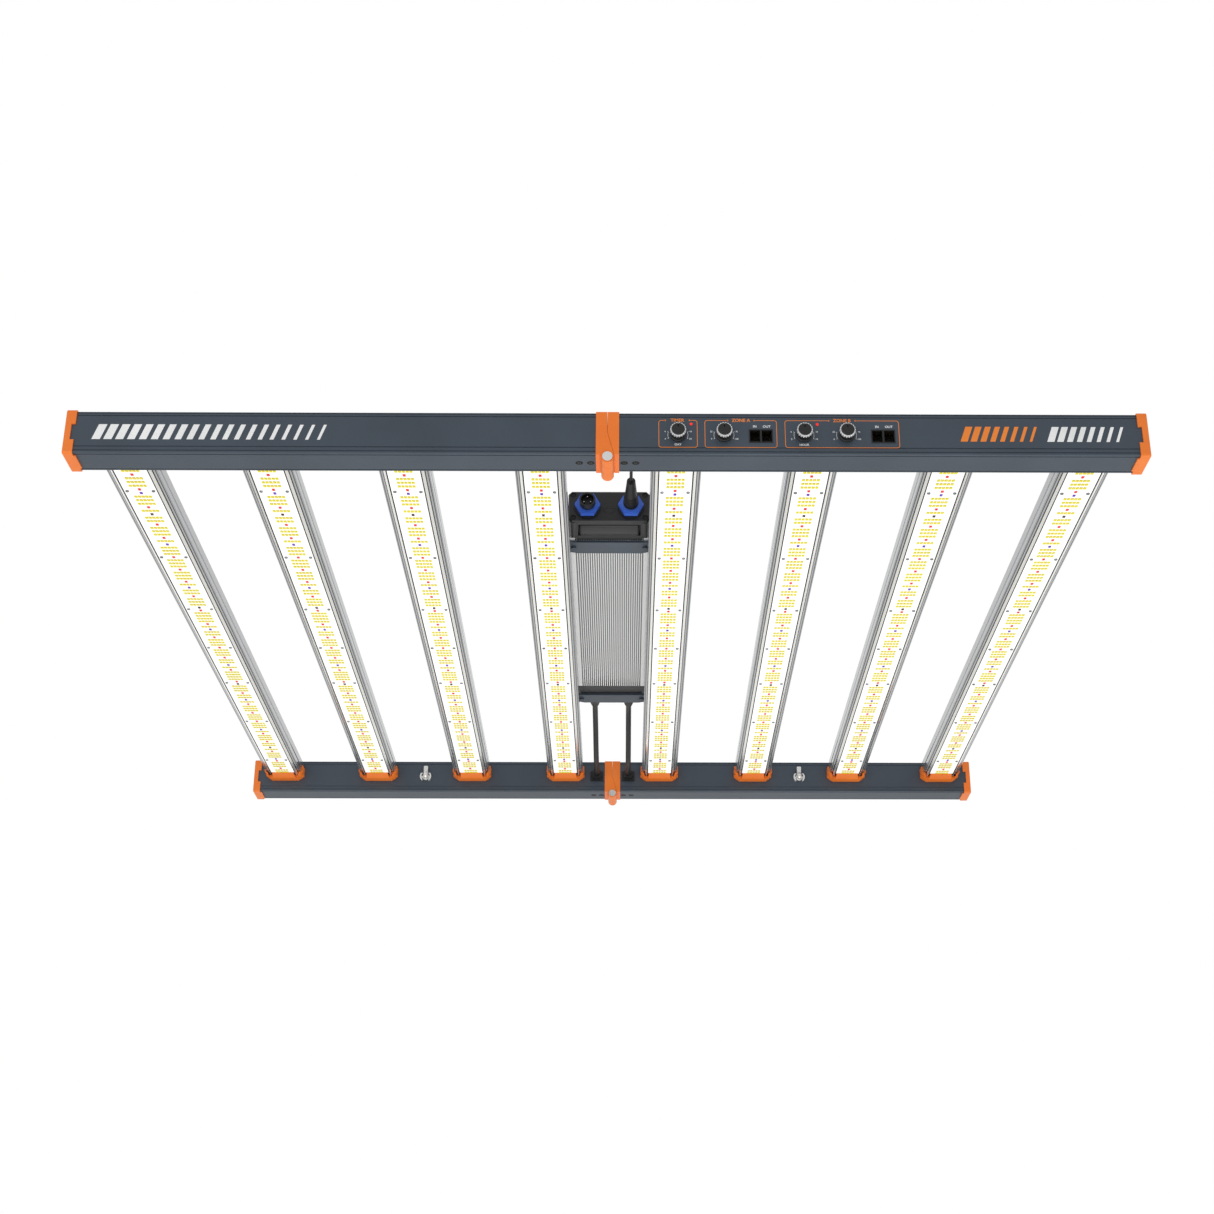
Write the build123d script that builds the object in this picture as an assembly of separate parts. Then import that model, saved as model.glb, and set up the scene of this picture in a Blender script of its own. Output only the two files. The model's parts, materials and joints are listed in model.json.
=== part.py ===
from build123d import *
import os
from math import cos, radians, sin

# Folding LED grow light: two cross rails carry eight LED bars, and the right half carries
# the controls and the driver. The left half folds down about the two orange hinges.
# Frame: X along the rails, +Y away from the control rail, +Z up. The origin is under the
# middle of the overall box, level with the lowest point, the hinge knuckles. Millimetres.

# ---- driving dimensions -------------------------------------------------------------
WIDTH = 1100.0                # over the end caps
DEPTH = 1123.0                # over the end caps' outer faces
RAIL_DEPTH = 38.6
RAIL_HEIGHT = 47.3
RAIL_WALL = 2.0
CAP_PROUD = 1.6               # how far an end cap stands out round the rail
KNUCKLE_R = 6.5
BAR_PITCH = 143.3
BAR_COUNT_PER_HALF = 4
BAR_HALF_WIDTH = 26.5
BAR_HEIGHT = 22.0             # from the face of the board to the top of the fins
BOARD_WIDTH = 34.8
BOARD_LENGTH = 989.0
BOARD_THICK = 1.6
DRIVER_WIDTH = 92.6
DRIVER_HEIGHT = 39.0
STRAP_THICK = 3.0
BODY_GAP = 0.3                # air between pieces that move past each other
RUNNING_GAP = 0.05            # radial play of a pin in its own bore

# ---- levels and lines worked out from them ------------------------------------------
HINGE_Z = KNUCKLE_R
RAIL_BOTTOM = HINGE_Z + 3.5
RAIL_TOP = RAIL_BOTTOM + RAIL_HEIGHT
RAIL_MID_Z = (RAIL_BOTTOM + RAIL_TOP) / 2
FRONT_FACE = -556.0           # outer faces of the end caps
REAR_FACE = FRONT_FACE + DEPTH
FRONT_RAIL_Y = FRONT_FACE + CAP_PROUD + RAIL_DEPTH / 2
REAR_RAIL_Y = REAR_FACE - CAP_PROUD - RAIL_DEPTH / 2
FRONT_RAIL_OUT = FRONT_RAIL_Y - RAIL_DEPTH / 2
FRONT_RAIL_IN = FRONT_RAIL_Y + RAIL_DEPTH / 2
REAR_RAIL_IN = REAR_RAIL_Y - RAIL_DEPTH / 2
MIDDLE_Y = (FRONT_FACE + REAR_FACE) / 2
HINGE_HALF = 11.8             # half the width of a hinge block
RAIL_END = WIDTH / 2 - 3.0    # inside face of the end cap's plate
BOARD_FACE_Z = RAIL_BOTTOM + 20.4
BAR_TOP = BOARD_FACE_Z + BAR_HEIGHT
STRAP_TOP = BAR_TOP + STRAP_THICK
DRIVER_BOTTOM = STRAP_TOP
DRIVER_TOP = DRIVER_BOTTOM + DRIVER_HEIGHT

# ---- rail details -------------------------------------------------------------------
GROOVE_DEPTH = 0.7
GROOVE_WIDTH = 1.2
GROOVE_HEIGHTS = (2.8, 7.3, RAIL_HEIGHT - 4.8, RAIL_HEIGHT - 1.8)
UNDER_GROOVE_INSET = 3.6
EDGE_ROUND = 1.2

# ---- hinge details ------------------------------------------------------------------
HINGE_PROUD = 0.8
SPLIT_KNEE_Z = RAIL_BOTTOM + 24.3
SPLIT_FOOT_X = 6.7
SPLIT_FOOT_Z = RAIL_BOTTOM - 0.7
KNUCKLE_PROUD = 0.4           # past the hinge block's faces
KNUCKLE_SEGMENT = 13.4
PIN_R = 3.0
PIN_HEAD_R = 5.2
PIN_HEAD_THICK = 1.0
TONGUE_REACH = 40.0
TONGUE_HEIGHT = 12.0
HINGE_SCREW_X = (17.0, 28.8)
HINGE_SCREW_HEAD_R = 3.9
HINGE_SCREW_R = 2.0

# ---- end cap details ----------------------------------------------------------------
CAP_WRAP = 10.5
CAP_PLUG = 8.0
CAP_NOTCH_DEPTH = 4.0
CAP_NOTCH_LOW = RAIL_BOTTOM + 14.3
CAP_NOTCH_HIGH = RAIL_BOTTOM + 32.3

# ---- bar details --------------------------------------------------------------------
BOARD_SCREW_X = 14.0
BOARD_SCREW_Y = (-436.5, -271.0, -122.5, 0.0, 122.5, 271.0, 436.5)
BOARD_SCREW_R = 1.2
BOARD_SCREW_HEAD_R = 1.9
BOSS_X = 11.5
BOSS_Z = BOARD_FACE_Z + 8.2
BOSS_R = 3.6
BAR_SCREW_R = 1.7
CLIP_BOTTOM = RAIL_BOTTOM + 16.0
CLIP_TOP = RAIL_BOTTOM + 34.4
CLIP_LENGTH = 26.6
CLIP_HALF_WIDTH = 28.5

# ---- driver details -----------------------------------------------------------------
DRIVER_FRONT = -309.0
DRIVER_REAR = 266.0
FRONT_CAP_LENGTH = 42.0
REAR_CAP_LENGTH = 65.0
FIN_DEPTH = 5.5
FIN_PITCH = 2.7
FIN_THICK = 1.2
FIN_COUNT = 29
SIDE_BAND = 6.4
HOUSING_WALL = 3.0
STRAP_DEPTH = 26.0
STRAP_HALF_LENGTH = 98.2
STRAP_Y = (-248.0, 242.0)
CONNECTOR_X = 24.7
CONNECTOR_Z = DRIVER_BOTTOM + 19.2
NUT_CORNER_R = 14.6
NUT_THICK = 6.0
CAP_SCREW_X = 41.0
CAP_SCREW_INSET = 5.2
CAP_SCREW_REACH = 20.0
STRAP_SCREW_X = 41.6
STRAP_SCREW_HEAD_R = 2.9
STRAP_SCREW_REACH = 6.0
CHANNEL_SCREW_R = 1.85        # fits the channel along the middle of a bar

# ---- cords --------------------------------------------------------------------------
OUTPUT_CABLE_R = 3.9
CONTROL_CABLE_R = 1.8
OUTPUT_X = 24.0
GLAND_Z = DRIVER_BOTTOM + 13.0
GLAND_LENGTH = 25.0
SOCKET_Z = RAIL_MID_Z
PLUG_TIP_Y = -372.0
RAIL_CABLE_HOLE_Z = RAIL_MID_Z + 6.0

# ---- controls -----------------------------------------------------------------------
KNOB_X = {"timer_knob": 71.4, "zone_a_dimmer_knob": 118.2,
          "zone_b_timer_knob": 199.4, "zone_b_dimmer_knob": 242.6}
KNOB_Z = RAIL_BOTTOM + 22.1
KNOB_R = 8.2
KNOB_HEIGHT = 13.0
KNOB_GAP = 0.5
BUSHING_R = 3.6
SHAFT_R = 3.0
JACK_X = (155.7, 279.9)       # centre of each pair of jacks
JACK_Z = RAIL_BOTTOM + 21.0
JACK_WIDTH = 24.4
JACK_HEIGHT = 15.4
JACK_DEPTH = 16.0
JACK_HOLE_WIDTH = 10.2
JACK_HOLE_HEIGHT = 13.2
JACK_HOLE_DEPTH = 12.0
JACK_HOLE_SPACING = 12.1
INDICATOR_X = (85.0, 213.2)
INDICATOR_Z = RAIL_BOTTOM + 34.6
INDICATOR_R = 1.5

# ---- hangers ------------------------------------------------------------------------
HANGER_X = 2 * BAR_PITCH
HANGER_Z = RAIL_BOTTOM + 22.0
STUD_R = 3.0
STUD_LENGTH = 12.0
STUD_BALL_R = 4.0


def block(x0, x1, y0, y1, z0, z1):
    """A box between two corners, given in either order along each axis."""
    size = (abs(x1 - x0), abs(y1 - y0), abs(z1 - z0))
    return Pos((x0 + x1) / 2, (y0 + y1) / 2, (z0 + z1) / 2) * Box(*size)


def rod_x(radius, x0, x1, y, z):
    return Pos((x0 + x1) / 2, y, z) * Rot(0, 90, 0) * Cylinder(radius, abs(x1 - x0))


def rod_y(radius, y0, y1, x, z):
    return Pos(x, (y0 + y1) / 2, z) * Rot(90, 0, 0) * Cylinder(radius, abs(y1 - y0))


def rod_z(radius, z0, z1, x, y):
    return Pos(x, y, (z0 + z1) / 2) * Cylinder(radius, abs(z1 - z0))


def prism_y(points, y0, y1):
    """A solid with an outline of (x, z) points, from y0 to y1."""
    outline = Polyline(*[(x, y0, z) for x, z in points], close=True)
    return extrude(make_face(outline), amount=y1 - y0, dir=(0, 1, 0))


def prism_x(points, x0, x1):
    """A solid with an outline of (y, z) points, from x0 to x1."""
    outline = Polyline(*[(x0, y, z) for y, z in points], close=True)
    return extrude(make_face(outline), amount=x1 - x0, dir=(1, 0, 0))


def cone_y(radius0, radius1, y0, y1, x, z):
    """A cone along +Y, radius0 at y0 and radius1 at y1."""
    return Pos(x, (y0 + y1) / 2, z) * Rot(-90, 0, 0) * Cone(radius0, radius1, y1 - y0)


def cone_z(radius0, radius1, z0, z1, x, y):
    return Pos(x, y, (z0 + z1) / 2) * Cone(radius0, radius1, z1 - z0)


def hexagon_y(corner_radius, y0, y1, x, z):
    """A hexagonal block along Y with two corners level with its centre."""
    points = [(x + corner_radius * cos(radians(60 * i)), z + corner_radius * sin(radians(60 * i)))
              for i in range(6)]
    return prism_y(points, y0, y1)


def cable(points, radius, bend):
    """A round cable along straight runs that are joined by arcs of the given radius."""
    route = FilletPolyline(*points, radius=bend)
    start = Plane(origin=route @ 0, z_dir=route % 0)
    return sweep(start * Circle(radius), path=route)


def save(node, *solids):
    pieces = []
    for solid in solids:
        pieces.extend(solid.solids())
    shape = pieces[0] if len(pieces) == 1 else Compound(pieces)
    export_step(shape, f"parts/{node}.step")


def bar_centres(side):
    """The four bars of one half, from the hinge outwards."""
    return [side * BAR_PITCH * (0.5 + i) for i in range(BAR_COUNT_PER_HALF)]


# ---- rails --------------------------------------------------------------------------

def rail_blank(side, y_mid):
    """A hollow aluminium box section with fine grooves along its faces."""
    x0, x1 = sorted((side * HINGE_HALF, side * RAIL_END))
    y0, y1 = y_mid - RAIL_DEPTH / 2, y_mid + RAIL_DEPTH / 2
    rail = block(x0, x1, y0, y1, RAIL_BOTTOM, RAIL_TOP)
    rail = fillet(rail.edges().filter_by(Axis.X), EDGE_ROUND)
    for height in GROOVE_HEIGHTS:
        z = RAIL_BOTTOM + height
        for y, inward in ((y0, 1), (y1, -1)):
            rail -= block(x0, x1, y, y + inward * GROOVE_DEPTH, z - GROOVE_WIDTH / 2, z + GROOVE_WIDTH / 2)
    for y in (y0 + UNDER_GROOVE_INSET, y1 - UNDER_GROOVE_INSET):
        rail -= block(x0, x1, y - GROOVE_WIDTH / 2, y + GROOVE_WIDTH / 2, RAIL_BOTTOM, RAIL_BOTTOM + GROOVE_DEPTH)
    rail -= block(x0, x1, y0 + RAIL_WALL, y1 - RAIL_WALL, RAIL_BOTTOM + RAIL_WALL, RAIL_TOP - RAIL_WALL)
    return rail


def rail_with_fixings(side, y_mid, inner_face, inward):
    """The holes that all four rail halves share: hinge screws, bar screws and hanger stud."""
    rail = rail_blank(side, y_mid)
    wall = (inner_face, inner_face - inward * RAIL_WALL)
    for x in HINGE_SCREW_X:
        rail -= hinge_screw_shape(side * x, y_mid)
    for x_bar in bar_centres(side):
        for x in (x_bar - BOSS_X, x_bar + BOSS_X):
            rail -= rod_y(BAR_SCREW_R, *wall, x, BOSS_Z)
    rail -= rod_y(STUD_R, *wall, side * HANGER_X, HANGER_Z)
    return rail


def front_rail_right():
    rail = rail_with_fixings(1, FRONT_RAIL_Y, FRONT_RAIL_IN, 1)
    outer_wall = (FRONT_RAIL_OUT, FRONT_RAIL_OUT + RAIL_WALL)
    for x in KNOB_X.values():
        rail -= rod_y(BUSHING_R, *outer_wall, x, KNOB_Z)
    for x in JACK_X:
        rail -= block(x - JACK_WIDTH / 2, x + JACK_WIDTH / 2, *outer_wall,
                      JACK_Z - JACK_HEIGHT / 2, JACK_Z + JACK_HEIGHT / 2)
    for x in INDICATOR_X:
        rail -= rod_y(INDICATOR_R, *outer_wall, x, INDICATOR_Z)
    rail -= rod_y(CONTROL_CABLE_R, FRONT_RAIL_IN - RAIL_WALL, FRONT_RAIL_IN, CONNECTOR_X, RAIL_CABLE_HOLE_Z)
    return rail


def front_rail_left():
    return rail_with_fixings(-1, FRONT_RAIL_Y, FRONT_RAIL_IN, 1)


def rear_rail(side):
    rail = rail_with_fixings(side, REAR_RAIL_Y, REAR_RAIL_IN, -1)
    rail -= socket_body(side)
    return rail


def end_cap(side, y_mid):
    """An end plate with a lip that wraps the rail and a plug that fits inside it."""
    y0, y1 = y_mid - RAIL_DEPTH / 2, y_mid + RAIL_DEPTH / 2
    end = side * WIDTH / 2
    lip = side * (WIDTH / 2 - CAP_WRAP)
    cap = block(lip, end, y0 - CAP_PROUD, y1 + CAP_PROUD, RAIL_BOTTOM - CAP_PROUD, RAIL_TOP + CAP_PROUD)
    cap = fillet(cap.edges().filter_by(Axis.X), 2.6)
    outer_face = cap.faces().sort_by(Axis.X)[-1 if side > 0 else 0]
    cap = fillet(outer_face.edges(), 1.2)
    tab = side * (WIDTH / 2 - CAP_WRAP - 2.0)
    cap += block(tab, lip, y0 + 5, y1 - 7, RAIL_BOTTOM - CAP_PROUD, RAIL_BOTTOM)
    rail_end = side * RAIL_END
    rail_outline = block(tab, rail_end, y0, y1, RAIL_BOTTOM, RAIL_TOP)
    cap -= fillet(rail_outline.edges().filter_by(Axis.X), EDGE_ROUND)
    notch = lip + side * CAP_NOTCH_DEPTH
    cap -= block(lip, notch, y0 - CAP_PROUD, y1 + CAP_PROUD, CAP_NOTCH_LOW, CAP_NOTCH_HIGH)
    plug = side * (RAIL_END - CAP_PLUG)
    cap += block(plug, rail_end, y0 + RAIL_WALL, y1 - RAIL_WALL, RAIL_BOTTOM + RAIL_WALL, RAIL_TOP - RAIL_WALL)
    return cap


# ---- folding hinges -----------------------------------------------------------------

def knuckle_spans(y_mid):
    """The front, middle and rear stretches of a hinge's knuckle."""
    half = RAIL_DEPTH / 2 + HINGE_PROUD + KNUCKLE_PROUD
    y0, y1 = y_mid - half, y_mid + half
    front = (y0, y0 + KNUCKLE_SEGMENT)
    rear = (y1 - KNUCKLE_SEGMENT, y1)
    middle = (front[1] + BODY_GAP, rear[0] - BODY_GAP)
    return front, middle, rear


def leaf_outline(side):
    """The left leaf keeps the foot over the knuckle, behind a slanting split."""
    top = RAIL_TOP + HINGE_PROUD
    bottom = RAIL_BOTTOM - HINGE_PROUD
    gap = side * BODY_GAP / 2
    foot = SPLIT_FOOT_X + gap
    return [(side * HINGE_HALF, bottom), (side * HINGE_HALF, top), (gap, top),
            (gap, SPLIT_KNEE_Z), (foot, SPLIT_FOOT_Z), (foot, bottom)]


def leaf_tongue(side, y_mid):
    """The stub that slides into the rail and takes the hinge screws."""
    inside = RAIL_DEPTH / 2 - RAIL_WALL
    floor = RAIL_BOTTOM + RAIL_WALL
    tongue = block(side * HINGE_HALF, side * TONGUE_REACH, y_mid - inside, y_mid + inside,
                   floor, floor + TONGUE_HEIGHT)
    for x in HINGE_SCREW_X:
        tongue -= hinge_screw_shape(side * x, y_mid)
    return tongue


def hinge_leaf_left(y_mid):
    half = RAIL_DEPTH / 2 + HINGE_PROUD
    front, middle, rear = knuckle_spans(y_mid)
    leaf = prism_y(leaf_outline(-1), y_mid - half, y_mid + half)
    leaf += leaf_tongue(-1, y_mid)
    pocket = (middle[0] - BODY_GAP, middle[1] + BODY_GAP)
    leaf -= rod_y(KNUCKLE_R + 0.4, *pocket, 0, HINGE_Z)
    leaf -= block(2.4, SPLIT_FOOT_X + 1, *pocket, HINGE_Z, HINGE_Z + 6.6)
    for span in (front, rear):
        leaf += rod_y(KNUCKLE_R, *span, 0, HINGE_Z)
    leaf -= rod_y(PIN_R + RUNNING_GAP, front[0], rear[1], 0, HINGE_Z)
    return leaf


def hinge_leaf_right(y_mid):
    half = RAIL_DEPTH / 2 + HINGE_PROUD
    middle = knuckle_spans(y_mid)[1]
    leaf = prism_y(leaf_outline(1), y_mid - half, y_mid + half)
    leaf += leaf_tongue(1, y_mid)
    leaf += block(3.0, HINGE_HALF - 1, *middle, RAIL_BOTTOM - HINGE_PROUD, HINGE_Z + 6.0)
    leaf += rod_y(KNUCKLE_R, *middle, 0, HINGE_Z)
    leaf -= rod_y(PIN_R, *middle, 0, HINGE_Z)
    return leaf


def hinge_pin(y_mid):
    front, _, rear = knuckle_spans(y_mid)
    y0, y1 = front[0] - BODY_GAP, rear[1] + BODY_GAP
    pin = rod_y(PIN_R, y0, y1, 0, HINGE_Z)
    pin += rod_y(PIN_HEAD_R, y0 - PIN_HEAD_THICK, y0, 0, HINGE_Z)
    pin += rod_y(PIN_HEAD_R, y1, y1 + PIN_HEAD_THICK, 0, HINGE_Z)
    return pin


def hinge_screw_shape(x, y):
    """The countersunk screw that comes up through the rail's underside."""
    head_top = RAIL_BOTTOM + RAIL_WALL
    head = cone_z(HINGE_SCREW_HEAD_R, HINGE_SCREW_R, RAIL_BOTTOM, head_top, x, y)
    return head + rod_z(HINGE_SCREW_R, head_top, head_top + 9.0, x, y)


def hinge_screw(x, y):
    recess = Pos(x, y, RAIL_BOTTOM) * extrude(RegularPolygon(1.6, 6), amount=1.5)
    return hinge_screw_shape(x, y) - recess


# ---- LED bars -----------------------------------------------------------------------

def bar_outline():
    """Half of the bar's section: board seat, rim, polished slope, outer wall with a groove."""
    wall = BAR_HALF_WIDTH
    levels = [(0, 1.6), (17.7, 1.6), (17.7, -0.2), (19.0, -0.2), (22.6, 2.2), (wall, 3.4),
              (wall, 9.5), (wall - 0.8, 10.1), (wall - 0.8, 11.5), (wall, 12.1), (wall, BAR_HEIGHT),
              (wall - 1.6, BAR_HEIGHT), (wall - 1.6, 5.2), (21.5, 4.0), (0, 4.0)]
    return [(x, BOARD_FACE_Z + z) for x, z in levels]


def board_screw_holes():
    holes = []
    for y in BOARD_SCREW_Y:
        for x in (-BOARD_SCREW_X, BOARD_SCREW_X):
            holes.append(rod_z(BOARD_SCREW_R, BOARD_FACE_Z, BOARD_FACE_Z + 3.6, x, MIDDLE_Y + y))
    return holes


def bar():
    """The extruded heat sink of one bar, centred on X = 0."""
    right = prism_y(bar_outline(), FRONT_RAIL_IN, REAR_RAIL_IN)
    body = right + mirror(right, about=Plane.YZ)
    span = (FRONT_RAIL_IN, REAR_RAIL_IN)
    web_top = BOARD_FACE_Z + 4.0
    for x, height in ((2.6, BAR_HEIGHT), (18.6, BAR_HEIGHT - 4)):
        for fin_x in (-x, x):
            body += block(fin_x - 0.7, fin_x + 0.7, *span, web_top - 0.5, BOARD_FACE_Z + height)
    for x in (-BOSS_X, BOSS_X):
        body += rod_y(BOSS_R, *span, x, BOSS_Z)
        body += block(x - 1.5, x + 1.5, *span, web_top - 0.5, BOSS_Z)
    for x in (-BOSS_X, BOSS_X):
        body -= rod_y(BAR_SCREW_R, *span, x, BOSS_Z)
    for hole in board_screw_holes():
        body -= hole
    return body


def led_board():
    """The white board that carries the LEDs, centred on X = 0."""
    y0, y1 = MIDDLE_Y - BOARD_LENGTH / 2, MIDDLE_Y + BOARD_LENGTH / 2
    half = BOARD_WIDTH / 2
    board = block(-half, half, y0, y1, BOARD_FACE_Z, BOARD_FACE_Z + BOARD_THICK)
    for hole in board_screw_holes():
        board -= hole
    return board


def board_screws():
    screws = []
    for hole in board_screw_holes():
        centre = hole.center()
        head = rod_z(BOARD_SCREW_HEAD_R, BOARD_FACE_Z - 1.3, BOARD_FACE_Z, centre.X, centre.Y)
        head = fillet(head.edges().sort_by(Axis.Z)[0], 0.6)
        screws.append(head + hole)
    return screws


def bar_clip(rail_face, inward):
    """The orange cradle at one end of a bar: a floor with a sloping tongue, and two arms."""
    half = CLIP_HALF_WIDTH
    cradle = [(0, CLIP_BOTTOM), (20, CLIP_BOTTOM), (23.5, CLIP_BOTTOM + 2.2), (half, CLIP_BOTTOM + 6.5),
              (half, CLIP_TOP), (BAR_HALF_WIDTH, CLIP_TOP), (BAR_HALF_WIDTH, BOARD_FACE_Z + 3.4),
              (22.6, BOARD_FACE_Z + 2.2), (19.0, BOARD_FACE_Z - 0.2), (0, BOARD_FACE_Z - 0.2)]
    tip = rail_face + inward * CLIP_LENGTH
    right = prism_y(cradle, min(rail_face, tip), max(rail_face, tip))
    clip = right + mirror(right, about=Plane.YZ)
    side_view = [(tip, BOARD_FACE_Z - 1.2), (tip - inward * 13, CLIP_BOTTOM), (rail_face, CLIP_BOTTOM),
                 (rail_face, CLIP_TOP), (tip - inward * 9, CLIP_TOP), (tip, BOARD_FACE_Z + 5)]
    return clip & prism_x(side_view, -half, half)


def bar_screw(rail_face, inward, x):
    """A pan-head screw from inside the rail into the bar's screw channel."""
    head_seat = rail_face - inward * RAIL_WALL
    screw = rod_y(BAR_SCREW_R, head_seat, rail_face + inward * 12, x, BOSS_Z)
    return screw + rod_y(3.2, head_seat - inward * 2.2, head_seat, x, BOSS_Z)


def rail_harness(side):
    """The wires to the bars, laid as one bundle on the floor of the rear rail."""
    radius = 2.5
    z = RAIL_BOTTOM + RAIL_WALL + radius
    return rod_x(radius, side * (TONGUE_REACH + 4), side * 510.0, REAR_RAIL_Y, z)


# ---- driver -------------------------------------------------------------------------

def driver_housing():
    """A finned aluminium tube that holds the driver's electronics."""
    y0, y1 = DRIVER_FRONT + FRONT_CAP_LENGTH, DRIVER_REAR - REAR_CAP_LENGTH
    half = DRIVER_WIDTH / 2
    core_low, core_high = DRIVER_BOTTOM + FIN_DEPTH, DRIVER_TOP - FIN_DEPTH
    body = block(-half, half, y0, y1, core_low, core_high)
    for x in (-half + SIDE_BAND / 2, half - SIDE_BAND / 2):
        body += block(x - SIDE_BAND / 2, x + SIDE_BAND / 2, y0, y1, DRIVER_BOTTOM, DRIVER_TOP)
    for i in range(FIN_COUNT):
        x = (i - (FIN_COUNT - 1) / 2) * FIN_PITCH
        body += block(x - FIN_THICK / 2, x + FIN_THICK / 2, y0, y1, DRIVER_BOTTOM, core_low)
        body += block(x - FIN_THICK / 2, x + FIN_THICK / 2, y0, y1, core_high, DRIVER_TOP)
    body -= block(-half + HOUSING_WALL, half - HOUSING_WALL, y0, y1,
                  core_low + HOUSING_WALL, core_high - HOUSING_WALL)
    for x in (-STRAP_SCREW_X, STRAP_SCREW_X):
        body -= rod_z(HINGE_SCREW_R, DRIVER_BOTTOM, DRIVER_BOTTOM + STRAP_SCREW_REACH, x, STRAP_Y[0])
    return body


def cap_outline(corner):
    """The driver caps' outline, a box with cut corners."""
    half = DRIVER_WIDTH / 2 + 0.4
    return [(-half, DRIVER_BOTTOM + corner), (-half + corner, DRIVER_BOTTOM), (half - corner, DRIVER_BOTTOM),
            (half, DRIVER_BOTTOM + corner), (half, DRIVER_TOP - corner), (half - corner, DRIVER_TOP),
            (-half + corner, DRIVER_TOP), (-half, DRIVER_TOP - corner)]


def cap_screw_places():
    return [(x, z) for x in (-CAP_SCREW_X, CAP_SCREW_X)
            for z in (DRIVER_BOTTOM + CAP_SCREW_INSET, DRIVER_TOP - CAP_SCREW_INSET)]


def driver_front_cap():
    """Cast end cap with the two round connectors' seats and a ribbed tray underneath."""
    y0, y1 = DRIVER_FRONT, DRIVER_FRONT + FRONT_CAP_LENGTH
    cap = prism_y(cap_outline(4.0), y0, y1)
    cap = chamfer(cap.faces().sort_by(Axis.Y)[0].edges(), 1.5)
    cap -= block(-36, 36, y0 + 8, y1 - 6, DRIVER_BOTTOM, DRIVER_BOTTOM + 4)
    cap += rod_x(3.6, -32, 32, (y0 + y1) / 2 + 1, DRIVER_BOTTOM + 4)
    for x, z in cap_screw_places():
        cap -= rod_y(3.4, y0, y0 + 4, x, z)
        cap -= rod_y(1.8, y0, y0 + CAP_SCREW_REACH, x, z)
    for x in (-CONNECTOR_X, CONNECTOR_X):
        cap -= rod_y(8.0, y0, y0 + 12, x, CONNECTOR_Z)
    cap -= block(-30, 30, y0 + 16, y1, DRIVER_BOTTOM + 10, DRIVER_TOP - 8)
    return cap


def driver_rear_cap():
    y0, y1 = DRIVER_REAR - REAR_CAP_LENGTH, DRIVER_REAR
    cap = prism_y(cap_outline(4.0), y0, y1)
    cap = chamfer(cap.faces().sort_by(Axis.Y)[-1].edges(), 3.0)
    for x, z in cap_screw_places():
        cap -= rod_y(3.4, y1 - 4, y1, x, z)
        cap -= rod_y(1.8, y1 - CAP_SCREW_REACH, y1, x, z)
    for x in (-OUTPUT_X, OUTPUT_X):
        cap -= rod_y(6.0, y1 - 12, y1, x, GLAND_Z)
        cap -= rod_y(OUTPUT_CABLE_R, y1 - 20, y1 - 12, x, GLAND_Z)
    for x in (-STRAP_SCREW_X, STRAP_SCREW_X):
        cap -= rod_z(HINGE_SCREW_R, DRIVER_BOTTOM, DRIVER_BOTTOM + STRAP_SCREW_REACH, x, STRAP_Y[1])
    cap -= block(-30, 30, y0, y0 + 40, DRIVER_BOTTOM + 8, DRIVER_TOP - 8)
    return cap


def driver_board():
    """The power supply's circuit board with its parts, potted as one block."""
    y0, y1 = DRIVER_FRONT + FRONT_CAP_LENGTH + 4, DRIVER_REAR - REAR_CAP_LENGTH - 4
    half = DRIVER_WIDTH / 2 - HOUSING_WALL
    floor = DRIVER_BOTTOM + FIN_DEPTH + HOUSING_WALL
    board = block(-half, half, y0, y1, floor, floor + 1.6)
    return board + block(-half + 5, half - 5, y0 + 10, y1 - 10, floor + 1.6, floor + 19)


def driver_screws():
    """The cap screws, and the screws that hold the straps to the driver and to bar 5."""
    screws = []
    for x, z in cap_screw_places():
        for y, inward in ((DRIVER_FRONT, 1), (DRIVER_REAR, -1)):
            head = rod_y(3.0, y + inward * 1.2, y + inward * 4, x, z)
            screws.append(head + rod_y(1.8, y + inward * 4, y + inward * CAP_SCREW_REACH, x, z))
    for y in STRAP_Y:
        for x in (-STRAP_SCREW_X, STRAP_SCREW_X):
            head = rod_z(STRAP_SCREW_HEAD_R, BAR_TOP - 2.0, BAR_TOP, x, y)
            screws.append(head + rod_z(HINGE_SCREW_R, BAR_TOP, STRAP_TOP + STRAP_SCREW_REACH, x, y))
        head = rod_z(3.4, STRAP_TOP, STRAP_TOP + 2.2, BAR_PITCH / 2, y)
        screws.append(head + rod_z(CHANNEL_SCREW_R, BAR_TOP - 8, STRAP_TOP, BAR_PITCH / 2, y))
    return screws


def driver_strap(y):
    """A flat bar over bars 4 and 5. Only bar 5 is screwed to it, so the left half can fold."""
    half = STRAP_DEPTH / 2
    outline = [(-STRAP_HALF_LENGTH, -half), (STRAP_HALF_LENGTH, -half), (STRAP_HALF_LENGTH, half),
               (45.0, half), (38.0, half + 3), (-38.0, half + 3), (-45.0, half), (-STRAP_HALF_LENGTH, half)]
    face = make_face(Polyline(*[(x, y + dy, BAR_TOP) for x, dy in outline], close=True))
    strap = extrude(face, amount=STRAP_THICK, dir=(0, 0, 1))
    strap -= rod_z(CHANNEL_SCREW_R, BAR_TOP, STRAP_TOP, BAR_PITCH / 2, y)
    for x in (-STRAP_SCREW_X, STRAP_SCREW_X):
        strap -= rod_z(HINGE_SCREW_R, BAR_TOP, STRAP_TOP, x, y)
    bar_4_edge = -(BAR_PITCH / 2 - BAR_HALF_WIDTH) + 0.5
    relief = block(-STRAP_HALF_LENGTH, bar_4_edge, y - half, y + half, BAR_TOP, BAR_TOP + BODY_GAP)
    return strap - relief


# ---- connectors and cords -----------------------------------------------------------

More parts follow.
